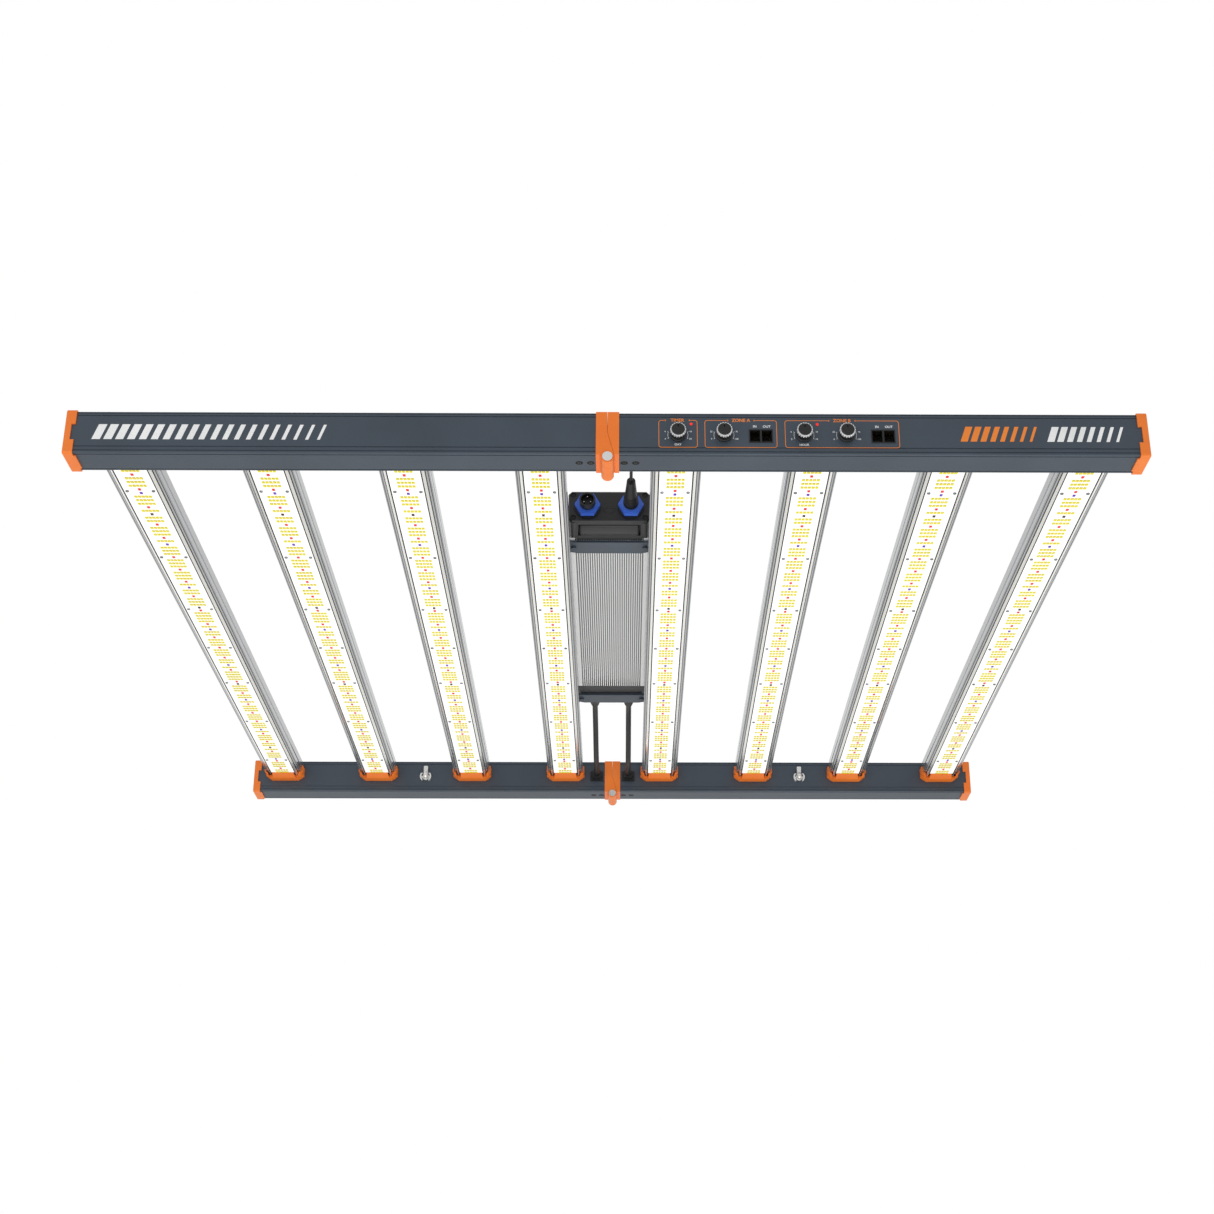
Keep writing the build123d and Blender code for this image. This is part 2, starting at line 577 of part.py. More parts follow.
def mains_inlet():
    """Round inlet: flange and barrel, with three pins in a hollow front."""
    x, z = -CONNECTOR_X, CONNECTOR_Z
    y0 = DRIVER_FRONT
    inlet = rod_y(15.0, y0 - 2, y0, x, z)
    inlet += rod_y(8.0, y0, y0 + 12, x, z)
    inlet += rod_y(9.0, y0 - 19, y0 - 2, x, z)
    inlet -= rod_y(7.2, y0 - 19, y0 - 11, x, z)
    for i in range(3):
        angle = radians(90 + 120 * i)
        inlet += rod_y(0.9, y0 - 17, y0 - 10.5, x + 4.3 * cos(angle), z + 4.3 * sin(angle))
    return inlet


def connector_nut(x, bore):
    """Hexagonal panel nut with a slightly smaller round collar in front."""
    y1 = DRIVER_FRONT - 2
    nut = hexagon_y(NUT_CORNER_R, y1 - NUT_THICK, y1, x, CONNECTOR_Z)
    nut += rod_y(11.6, y1 - NUT_THICK - 1.6, y1 - NUT_THICK, x, CONNECTOR_Z)
    return nut - rod_y(bore, y1 - NUT_THICK - 1.6, y1, x, CONNECTOR_Z)


def control_plug():
    """The dimming lead's round plug, tapering to its cable, with its seat in the driver."""
    x, z = CONNECTOR_X, CONNECTOR_Z
    y0 = DRIVER_FRONT
    plug = rod_y(15.0, y0 - 2, y0, x, z) + rod_y(8.0, y0, y0 + 12, x, z)
    plug += rod_y(8.6, y0 - 12, y0 - 2, x, z)
    plug += rod_y(7.4, y0 - 30, y0 - 12, x, z)
    plug += cone_y(4.8, 7.0, PLUG_TIP_Y, y0 - 30, x, z)
    return plug - rod_y(CONTROL_CABLE_R, PLUG_TIP_Y, PLUG_TIP_Y + 8, x, z)


def control_cable():
    """The thin dimming lead, from the plug down to the control rail's back wall."""
    points = [(CONNECTOR_X, PLUG_TIP_Y + 8, CONNECTOR_Z), (CONNECTOR_X, PLUG_TIP_Y - 30, CONNECTOR_Z),
              (CONNECTOR_X, FRONT_RAIL_IN + 45, RAIL_CABLE_HOLE_Z),
              (CONNECTOR_X, FRONT_RAIL_IN - 6, RAIL_CABLE_HOLE_Z)]
    return cable(points, CONTROL_CABLE_R, 45.0)


def output_gland(side):
    """Strain relief for an output cable: a round nut, then a tapering boot."""
    x = side * OUTPUT_X
    y0 = DRIVER_REAR
    gland = rod_y(6.0, y0 - 12, y0, x, GLAND_Z)
    gland += rod_y(8.0, y0, y0 + 8, x, GLAND_Z)
    gland += cone_y(7.2, 4.9, y0 + 8, y0 + GLAND_LENGTH, x, GLAND_Z)
    return gland - rod_y(OUTPUT_CABLE_R, y0 - 12, y0 + GLAND_LENGTH, x, GLAND_Z)


def output_cable(side):
    """An output cable, from the driver's rear cap to the plug on the rear rail."""
    x = side * OUTPUT_X
    points = [(x, DRIVER_REAR - 20, GLAND_Z), (x, DRIVER_REAR + 60, GLAND_Z),
              (x, REAR_RAIL_IN - 70, SOCKET_Z), (x, REAR_RAIL_IN - 8, SOCKET_Z)]
    return cable(points, OUTPUT_CABLE_R, 120.0)


def socket_body(side):
    """The stretch of an output socket that fills its window in the rail's wall."""
    x = side * OUTPUT_X
    return block(x - 7, x + 7, REAR_RAIL_IN, REAR_RAIL_IN + RAIL_WALL, SOCKET_Z - 5, SOCKET_Z + 5)


def output_socket(side):
    """The rail's socket, with the cable's square plug pushed into it."""
    x = side * OUTPUT_X
    face = REAR_RAIL_IN
    socket = block(x - 9.8, x + 9.8, face - 2, face, SOCKET_Z - 7.7, SOCKET_Z + 7.7)
    socket += socket_body(side)
    socket += block(x - 7, x + 7, face + RAIL_WALL, face + 12, SOCKET_Z - 5, SOCKET_Z + 5)
    plug = block(x - 6.2, x + 6.2, face - 14, face - 2, SOCKET_Z - 5.2, SOCKET_Z + 5.2)
    plug = chamfer(plug.edges().filter_by(Axis.Y), 1.0)
    hole = rod_y(OUTPUT_CABLE_R + RUNNING_GAP, face - 14, face - 8 + BODY_GAP, x, SOCKET_Z)
    return socket, plug - hole


# ---- controls -----------------------------------------------------------------------

def knob(x):
    """A round knob on its shaft: grip with flutes, skirt, and a bright ring near the front."""
    back = FRONT_RAIL_OUT - KNOB_GAP
    front = back - KNOB_HEIGHT
    grip = rod_y(KNOB_R - 0.9, front, back, x, KNOB_Z)
    grip = chamfer(grip.edges().sort_by(Axis.Y)[0], 0.8)
    flutes = 24
    for i in range(flutes):
        angle = radians(360 / flutes * i)
        groove = rod_y(0.45, front + 4.6, back - 2.4, x + (KNOB_R - 0.8) * cos(angle),
                       KNOB_Z + (KNOB_R - 0.8) * sin(angle))
        grip -= groove
    grip += rod_y(KNOB_R, back - 2.0, back, x, KNOB_Z)
    grip -= rod_y(6.2, back - 2.4, back, x, KNOB_Z)
    ring_span = (front + 1.6, front + 4.0)
    grip -= rod_y(KNOB_R, *ring_span, x, KNOB_Z) - rod_y(KNOB_R - 1.6, *ring_span, x, KNOB_Z)
    ring = rod_y(KNOB_R, *ring_span, x, KNOB_Z) - rod_y(KNOB_R - 1.6, *ring_span, x, KNOB_Z)
    shaft = rod_y(SHAFT_R, back - 8, FRONT_RAIL_OUT + RAIL_WALL + 5, x, KNOB_Z)
    return (grip - rod_y(SHAFT_R, back - 8, back, x, KNOB_Z)), ring, shaft


def potentiometer(x):
    """A panel potentiometer: case inside the rail, bushing through it and a nut in front."""
    inside = FRONT_RAIL_OUT + RAIL_WALL
    case = block(x - 8, x + 8, inside, inside + 8, KNOB_Z - 8, KNOB_Z + 8)
    case += rod_y(BUSHING_R, FRONT_RAIL_OUT - 1.8, inside, x, KNOB_Z)
    case -= rod_y(SHAFT_R + RUNNING_GAP, FRONT_RAIL_OUT - 1.8, inside + 5.4, x, KNOB_Z)
    nut = hexagon_y(5.2, FRONT_RAIL_OUT - 1.6, FRONT_RAIL_OUT, x, KNOB_Z)
    return case, nut - rod_y(BUSHING_R, FRONT_RAIL_OUT - 1.6, FRONT_RAIL_OUT, x, KNOB_Z)


def jack_pair(x):
    """Two data jacks side by side in one housing, IN and OUT."""
    face = FRONT_RAIL_OUT
    pair = block(x - JACK_WIDTH / 2, x + JACK_WIDTH / 2, face - 0.4, face + JACK_DEPTH,
                 JACK_Z - JACK_HEIGHT / 2, JACK_Z + JACK_HEIGHT / 2)
    for hole_x in (x - JACK_HOLE_SPACING / 2, x + JACK_HOLE_SPACING / 2):
        pair -= block(hole_x - JACK_HOLE_WIDTH / 2, hole_x + JACK_HOLE_WIDTH / 2, face - 0.4,
                      face + JACK_HOLE_DEPTH, JACK_Z - JACK_HOLE_HEIGHT / 2, JACK_Z + JACK_HOLE_HEIGHT / 2)
    return pair


def indicator(x):
    """A small red lens that fills its hole and stands just proud of the face."""
    inside = FRONT_RAIL_OUT + RAIL_WALL
    lens = rod_y(INDICATOR_R, FRONT_RAIL_OUT - 0.6, inside, x, INDICATOR_Z)
    return lens + rod_y(2.2, inside, inside + 14, x, INDICATOR_Z)


def control_board():
    """The circuit board behind the controls, spaced off the jacks."""
    y = FRONT_RAIL_OUT + JACK_DEPTH
    board = block(58, 300, y, y + 1.6, RAIL_BOTTOM + 5, RAIL_TOP - 5)
    for x in KNOB_X.values():
        board += block(x - 4, x + 4, FRONT_RAIL_OUT + RAIL_WALL + 8, y, KNOB_Z - 4, KNOB_Z + 4)
    return board


# ---- hangers ------------------------------------------------------------------------

def hanger_stud(side, face, inward):
    """A ball-ended stud in the rail's inner wall, with its nut inside the rail."""
    x = side * HANGER_X
    seat = face - inward * RAIL_WALL
    tip = face + inward * STUD_LENGTH
    stud = rod_y(STUD_R, seat - inward * 4, tip - inward * 2, x, HANGER_Z)
    stud += rod_y(5.2, seat - inward * 4, seat, x, HANGER_Z)
    return stud + Pos(x, tip - inward * STUD_BALL_R, HANGER_Z) * Sphere(STUD_BALL_R)


def hanger_clip(side, face, inward):
    """The end of a hanging wire: an eye on the stud, a ferrule above it and two claws round it."""
    x = side * HANGER_X
    y0, y1 = face + inward * 0.6, face + inward * 2.6
    claw_end = face + inward * 6.0
    eye = rod_y(5.0, y0, y1, x, HANGER_Z)
    eye += block(x - 8.0, x + 8.0, y0, y1, HANGER_Z - 1.5, HANGER_Z + 1.5)
    eye += block(x - 3.0, x + 3.0, y0, y1, HANGER_Z, HANGER_Z + 10)
    claws = rod_y(8.6, y0, claw_end, x, HANGER_Z) - rod_y(6.4, y0, claw_end, x, HANGER_Z)
    claws -= block(x - 4.6, x + 4.6, y0, claw_end, HANGER_Z - 10, HANGER_Z)
    claws -= block(x - 9, x + 9, y0, claw_end, HANGER_Z + 5.2, HANGER_Z + 10)
    ferrule = rod_z(3.7, HANGER_Z + 6.4, HANGER_Z + 15.6, x, face + inward * 4.6)
    hole = rod_z(1.5, HANGER_Z + 8, HANGER_Z + 15.6, x, face + inward * 4.6)
    clip = eye + claws + ferrule - hole
    return clip - rod_y(STUD_R + RUNNING_GAP, y0, y1, x, HANGER_Z)


# ---- the two halves -----------------------------------------------------------------

def save_half(side, name):
    """Writes the nodes that both halves have."""
    bar_shape, board_shape, screw_shapes = bar(), led_board(), board_screws()
    clip_shapes = [bar_clip(FRONT_RAIL_IN, 1), bar_clip(REAR_RAIL_IN, -1)]
    boards, screws, clips, bar_screws = [], [], [], []
    for i, x in enumerate(bar_centres(side)):
        number = BAR_COUNT_PER_HALF - i if side < 0 else BAR_COUNT_PER_HALF + 1 + i
        save(f"bar_{number}", Pos(x, 0, 0) * bar_shape)
        boards.append(Pos(x, 0, 0) * board_shape)
        screws.extend(Pos(x, 0, 0) * screw for screw in screw_shapes)
        clips.extend(Pos(x, 0, 0) * clip for clip in clip_shapes)
        for screw_x in (x - BOSS_X, x + BOSS_X):
            bar_screws.append(bar_screw(FRONT_RAIL_IN, 1, screw_x))
            bar_screws.append(bar_screw(REAR_RAIL_IN, -1, screw_x))
    save(f"led_boards_{name}", *boards)
    save(f"board_screws_{name}", *screws)
    save(f"bar_clips_{name}", *clips)
    save(f"bar_screws_{name}", *bar_screws)
    save(f"rail_harness_{name}", rail_harness(side))
    save(f"end_caps_{name}", end_cap(side, FRONT_RAIL_Y), end_cap(side, REAR_RAIL_Y))
    hinge_screws = [hinge_screw(side * x, y) for x in HINGE_SCREW_X for y in (FRONT_RAIL_Y, REAR_RAIL_Y)]
    save(f"hinge_screws_{name}", *hinge_screws)
    save(f"rear_rail_{name}", rear_rail(side))
    save(f"output_socket_{name}", *output_socket(side))
    save(f"hanger_studs_{name}", hanger_stud(side, FRONT_RAIL_IN, 1), hanger_stud(side, REAR_RAIL_IN, -1))
    save(f"front_hanger_clip_{name}", hanger_clip(side, FRONT_RAIL_IN, 1))
    save(f"rear_hanger_clip_{name}", hanger_clip(side, REAR_RAIL_IN, -1))
    save(f"output_cable_{name}", output_cable(side))


def main():
    os.makedirs("parts", exist_ok=True)
    save_half(-1, "left")
    save_half(1, "right")
    save("front_rail_left", front_rail_left())
    save("front_rail_right", front_rail_right())
    for end, y_mid in (("front", FRONT_RAIL_Y), ("rear", REAR_RAIL_Y)):
        save(f"{end}_hinge_leaf_left", hinge_leaf_left(y_mid))
        save(f"{end}_hinge_leaf_right", hinge_leaf_right(y_mid))
    save("hinge_pins", hinge_pin(FRONT_RAIL_Y), hinge_pin(REAR_RAIL_Y))
    save("driver_housing", driver_housing())
    save("driver_front_cap", driver_front_cap())
    save("driver_rear_cap", driver_rear_cap())
    save("driver_board", driver_board())
    save("driver_screws", *driver_screws())
    save("driver_straps", *[driver_strap(y) for y in STRAP_Y])
    save("mains_inlet", mains_inlet())
    save("connector_nuts", connector_nut(-CONNECTOR_X, 9.0), connector_nut(CONNECTOR_X, 8.6))
    save("control_plug", control_plug())
    save("control_cable", control_cable())
    save("output_glands", output_gland(-1), output_gland(1))
    for name, x in KNOB_X.items():
        save(name, *knob(x))
    potentiometers = [piece for x in KNOB_X.values() for piece in potentiometer(x)]
    save("potentiometers", *potentiometers)
    save("data_jacks", *[jack_pair(x) for x in JACK_X])
    save("indicators", *[indicator(x) for x in INDICATOR_X])
    save("control_board", control_board())


main()
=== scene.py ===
"""Folding LED grow light: its LEDs, printed panel, knobs, fittings, finishes, light and camera."""
import json
import logging
import math
from dataclasses import dataclass, field
from enum import Enum
from typing import Callable, Iterable, Sequence

import bmesh
import bpy
from mathutils import Matrix, Vector


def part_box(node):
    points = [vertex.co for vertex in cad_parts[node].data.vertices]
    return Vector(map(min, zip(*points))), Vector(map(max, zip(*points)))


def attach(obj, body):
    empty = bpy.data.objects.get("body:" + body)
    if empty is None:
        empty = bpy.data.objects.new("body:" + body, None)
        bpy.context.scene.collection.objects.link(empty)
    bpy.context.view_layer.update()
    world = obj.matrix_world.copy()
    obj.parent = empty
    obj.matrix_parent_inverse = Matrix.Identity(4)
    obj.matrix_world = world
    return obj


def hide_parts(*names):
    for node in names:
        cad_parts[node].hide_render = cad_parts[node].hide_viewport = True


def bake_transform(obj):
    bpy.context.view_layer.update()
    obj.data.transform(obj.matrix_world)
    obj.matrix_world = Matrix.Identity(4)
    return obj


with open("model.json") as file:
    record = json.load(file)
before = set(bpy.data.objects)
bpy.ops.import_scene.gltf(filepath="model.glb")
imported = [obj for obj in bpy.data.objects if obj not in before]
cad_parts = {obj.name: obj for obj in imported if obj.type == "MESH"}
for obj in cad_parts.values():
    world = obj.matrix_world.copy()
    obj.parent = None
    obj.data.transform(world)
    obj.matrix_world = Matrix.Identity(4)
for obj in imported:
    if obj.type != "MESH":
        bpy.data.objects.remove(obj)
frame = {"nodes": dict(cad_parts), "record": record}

LOG = logging.getLogger("grow_light")
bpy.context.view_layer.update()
MM = 0.001
Point = tuple[float, float, float]
Flat = tuple[float, float]


def mm(*values: float) -> Vector:
    """A vector in metres from millimetres."""
    return Vector([value * MM for value in values])


def srgb(hex_colour: str) -> tuple[float, float, float, float]:
    """Linear RGBA from an sRGB hex colour such as #F5823A.

    Args:
        hex_colour: the colour, with its leading #.

    Returns:
        Red, green, blue and alpha, linear.
    """
    channels = [int(hex_colour[i:i + 2], 16) / 255 for i in (1, 3, 5)]
    linear = [c / 12.92 if c <= 0.04045 else ((c + 0.055) / 1.055) ** 2.4 for c in channels]
    return (linear[0], linear[1], linear[2], 1.0)


# ---- finishes -----------------------------------------------------------------------

class Graph:
    """The node tree of one new material, around its Principled shader."""

    def __init__(self, name: str) -> None:
        """Makes the material and keeps its tree and shader.

        Args:
            name: the material's name.
        """
        self.material = bpy.data.materials.new(name)
        self.material.use_nodes = True
        self.tree = self.material.node_tree
        self.shader = self.tree.nodes["Principled BSDF"]

    def add(self, kind: str, inputs: dict | None = None, **settings) -> bpy.types.Node:
        """Adds one node.

        Args:
            kind: the node's type, such as ShaderNodeTexNoise.
            inputs: socket name or number to a constant, or to an output socket to link from.
            settings: attributes to set on the node.

        Returns:
            The new node.
        """
        node = self.tree.nodes.new(kind)
        for key, value in settings.items():
            setattr(node, key, value)
        for key, value in (inputs or {}).items():
            self.join(node.inputs[key], value)
        return node

    def join(self, socket: bpy.types.NodeSocket, value: object) -> None:
        """Links an output socket to this one, or sets its constant.

        Args:
            socket: the input socket.
            value: an output socket, or a constant.
        """
        if isinstance(value, bpy.types.NodeSocket):
            self.tree.links.new(value, socket)
        else:
            socket.default_value = value

    def shade(self, inputs: dict) -> None:
        """Sets or links the shader's own sockets."""
        for key, value in inputs.items():
            self.join(self.shader.inputs[key], value)

    def place(self, scale: Point) -> bpy.types.NodeSocket:
        """Object coordinates, multiplied along each axis.

        Args:
            scale: the factor along each axis.

        Returns:
            The vector socket.
        """
        where = self.add("ShaderNodeTexCoord")
        mapping = self.add("ShaderNodeMapping", {"Vector": where.outputs["Object"], "Scale": scale})
        return mapping.outputs["Vector"]

    def noise(self, scale: Point, detail: float = 3.0, roughness: float = 0.55) -> bpy.types.NodeSocket:
        """Noise whose blotches are about 1/scale metres along each axis.

        Args:
            scale: blotches per metre along each axis.
            detail: how many finer octaves it has.
            roughness: how strong the finer octaves are.

        Returns:
            The noise's factor socket.
        """
        texture = self.add("ShaderNodeTexNoise", {"Vector": self.place(scale), "Scale": 1.0, "Detail": detail,
                                                  "Roughness": roughness})
        return texture.outputs["Fac"]

    def between(self, factor: bpy.types.NodeSocket, low: float, high: float) -> bpy.types.NodeSocket:
        """Spreads the middle of a noise over low to high.

        Args:
            factor: the noise.
            low: what its low part becomes.
            high: what its high part becomes.

        Returns:
            The spread value.
        """
        spread = self.add("ShaderNodeMapRange", {"Value": factor, "From Min": 0.3, "From Max": 0.7,
                                                 "To Min": low, "To Max": high})
        return spread.outputs["Result"]

    def tint(self, factor: bpy.types.NodeSocket, dark: str, light: str) -> bpy.types.NodeSocket:
        """A colour between two hex colours, following a factor.

        Args:
            factor: the noise that it follows.
            dark: the colour at its low part.
            light: the colour at its high part.

        Returns:
            The colour socket.
        """
        mix = self.add("ShaderNodeMix", {"Factor": self.between(factor, 0.0, 1.0), "A": srgb(dark),
                                         "B": srgb(light)}, data_type="RGBA")
        return mix.outputs["Result"]

    def bump(self, height: bpy.types.NodeSocket, depth: float, under: object = None) -> bpy.types.NodeSocket:
        """A bump of the given depth in metres, over another one if it is given.

        Args:
            height: the height texture.
            depth: its depth in metres.
            under: the bump that it lies over.

        Returns:
            The normal socket.
        """
        inputs = {"Height": height, "Strength": 1.0, "Distance": depth}
        if under is not None:
            inputs["Normal"] = under
        return self.add("ShaderNodeBump", inputs).outputs["Normal"]


@dataclass(frozen=True)
class Plastic:
    """Moulded plastic: an even colour with slow shade changes and a fine spark-eroded grain."""

    name: str
    dark: str
    light: str
    roughness: float
    grain_mm: float = 0.35
    grain_depth_mm: float = 0.015
    ior: float = 1.53
    coat: float = 0.0

    def build(self) -> bpy.types.Material:
        """The material."""
        graph = Graph(self.name)
        clouds = graph.noise((18.0, 18.0, 18.0))
        fine = 1.0 / (self.grain_mm * MM)
        grain = graph.noise((fine, fine, fine), detail=2.0)
        graph.shade({
            "Base Color": graph.tint(clouds, self.dark, self.light),
            "Roughness": graph.between(clouds, self.roughness - 0.04, self.roughness + 0.05),
            "IOR": self.ior,
            "Coat Weight": self.coat,
            "Coat Roughness": 0.12,
            "Normal": graph.bump(grain, self.grain_depth_mm * MM),
        })
        return graph.material


@dataclass(frozen=True)
class Metal:
    """Bare or plated metal with fine drawing lines along one axis."""

    name: str
    dark: str
    light: str
    roughness: float
    lines: Point
    line_depth_mm: float = 0.004
    metallic: float = 1.0

    def build(self) -> bpy.types.Material:
        """The material."""
        graph = Graph(self.name)
        lines = graph.noise(self.lines, detail=4.0, roughness=0.65)
        clouds = graph.noise((9.0, 9.0, 9.0))
        graph.shade({
            "Base Color": graph.tint(clouds, self.dark, self.light),
            "Metallic": self.metallic,
            "Roughness": graph.between(lines, self.roughness - 0.05, self.roughness + 0.07),
            "Normal": graph.bump(lines, self.line_depth_mm * MM),
        })
        return graph.material


@dataclass(frozen=True)
class BarMetal:
    """The bars' extrusion: a polished slope beside the board, then a duller lined outer flange.

    The bands are colours at distances from the bar's middle, in millimetres. They are painted reflections on the
    polished slope and painted shade in the grooves and beside the board.
    """

    name: str
    pitch_mm: float = 143.3
    reach_mm: float = 30.0
    painted_light_bands: tuple[tuple[float, str], ...] = (
        (0.0, "#DDDEDF"), (17.4, "#242527"), (18.8, "#F2F1EC"), (21.6, "#2E2F31"), (22.7, "#BCBDBE"),
        (24.4, "#4A4B4D"), (25.2, "#B0B1B3"), (26.2, "#9A9B9D"))

    def build(self) -> bpy.types.Material:
        """The material."""
        graph = Graph(self.name)
        axes = graph.add("ShaderNodeSeparateXYZ", {"Vector": graph.place((1000.0, 1000.0, 1000.0))})
        local = graph.add("ShaderNodeMath", {0: axes.outputs["X"], 1: self.pitch_mm, 2: 0.0}, operation="WRAP")
        middle = graph.add("ShaderNodeMath", {0: local.outputs[0], 1: self.pitch_mm / 2}, operation="SUBTRACT")
        reach = graph.add("ShaderNodeMath", {0: middle.outputs[0]}, operation="ABSOLUTE")
        share = graph.add("ShaderNodeMath", {0: reach.outputs[0], 1: self.reach_mm}, operation="DIVIDE")
        # Painted reflections and painted shade: the bar's colour comes from these bands, not from what it
        # reflects.
        ramp = graph.add("ShaderNodeValToRGB", {"Fac": share.outputs[0]})
        ramp.color_ramp.interpolation = "CONSTANT"
        stops = ramp.color_ramp.elements
        while len(stops) > 1:
            stops.remove(stops[-1])
        stops[0].position, stops[0].color = 0.0, srgb(self.painted_light_bands[0][1])
        for distance, colour in self.painted_light_bands[1:]:
            stops.new(distance / self.reach_mm).color = srgb(colour)
        lines = graph.noise((1800.0, 3.0, 1800.0), detail=4.0, roughness=0.65)
        graph.shade({
            "Base Color": ramp.outputs["Color"],
            "Metallic": 0.75,
            "Roughness": graph.between(lines, 0.12, 0.24),
            "Normal": graph.bump(lines, 0.003 * MM),
        })
        return graph.material


@dataclass(frozen=True)
class FinMetal:
    """The driver's finned housing: bright fin tips fading into painted shade down in the grooves."""

    name: str
    tip: str
    groove_shade: str
    middle_mm: float
    half_mm: float
    depth_mm: float = 5.5

    def build(self) -> bpy.types.Material:
        """The material."""
        graph = Graph(self.name)
        axes = graph.add("ShaderNodeSeparateXYZ", {"Vector": graph.place((1000.0, 1000.0, 1000.0))})
        height = graph.add("ShaderNodeMath", {0: axes.outputs["Z"], 1: self.middle_mm}, operation="SUBTRACT")
        reach = graph.add("ShaderNodeMath", {0: height.outputs[0]}, operation="ABSOLUTE")
        # Painted shade: the colour darkens from the fin tips down into the grooves.
        depth = graph.add("ShaderNodeMapRange", {
            "Value": reach.outputs[0], "From Min": self.half_mm - 0.2,
            "From Max": self.half_mm - self.depth_mm * 0.8, "To Min": 0.0, "To Max": 1.0})
        lines = graph.noise((1600.0, 3.0, 1600.0), detail=4.0, roughness=0.65)
        mix = graph.add("ShaderNodeMix", {"Factor": depth.outputs["Result"], "A": srgb(self.tip),
                                          "B": srgb(self.groove_shade)}, data_type="RGBA")
        graph.shade({
            "Base Color": mix.outputs["Result"],
            "Metallic": 0.6,
            "Roughness": graph.between(lines, 0.32, 0.46),
            "Normal": graph.bump(lines, 0.004 * MM),
        })
        return graph.material


@dataclass(frozen=True)
class BoardMask:
    """White solder mask over copper: the tracks stand out a little as straight raised lanes; it has a painted
    glow.
    """

    name: str
    dark: str
    light: str
    track_mm: float = 4.235
    painted_glow: float = 0.3

    def build(self) -> bpy.types.Material:
        """The material."""
        graph = Graph(self.name)
        per_metre = 1.0 / (self.track_mm * MM)
        lanes = graph.add("ShaderNodeTexBrick", {
            "Vector": graph.place((per_metre, per_metre, per_metre)), "Scale": 1.0, "Mortar Size": 0.035,
            "Mortar Smooth": 0.2, "Brick Width": 1.0, "Row Height": 2.0})
        mottle = graph.noise((160.0, 160.0, 160.0))
        track_bump = graph.bump(lanes.outputs["Fac"], -0.03 * MM)
        graph.shade({
            "Base Color": graph.tint(mottle, self.dark, self.light),
            "Roughness": graph.between(mottle, 0.36, 0.46),
            "IOR": 1.52,
            # Painted glow: the board is no lamp.
            "Emission Color": srgb(self.light),
            "Emission Strength": self.painted_glow,
            "Normal": graph.bump(graph.noise((3000.0, 3000.0, 3000.0)), 0.004 * MM, track_bump),
        })
        return graph.material


@dataclass(frozen=True)
class Lens:
    """Clear or phosphor-filled silicone over an LED chip: a wet, slightly uneven surface with a painted glow."""

    name: str
    dark: str
    light: str
    painted_glow: float = 0.0

    def build(self) -> bpy.types.Material:
        """The material."""
        graph = Graph(self.name)
        speckle = graph.noise((900.0, 900.0, 900.0), detail=2.0)
        colour = graph.tint(speckle, self.dark, self.light)
        graph.shade({
            "Base Color": colour,
            "Roughness": graph.between(speckle, 0.22, 0.34),
            "IOR": 1.41,
            "Coat Weight": 0.1,
            "Coat Roughness": 0.1,
            # Painted glow on the lens.
            "Emission Color": srgb(self.light),
            "Emission Strength": self.painted_glow,
            "Normal": graph.bump(speckle, 0.02 * MM),
        })
        return graph.material


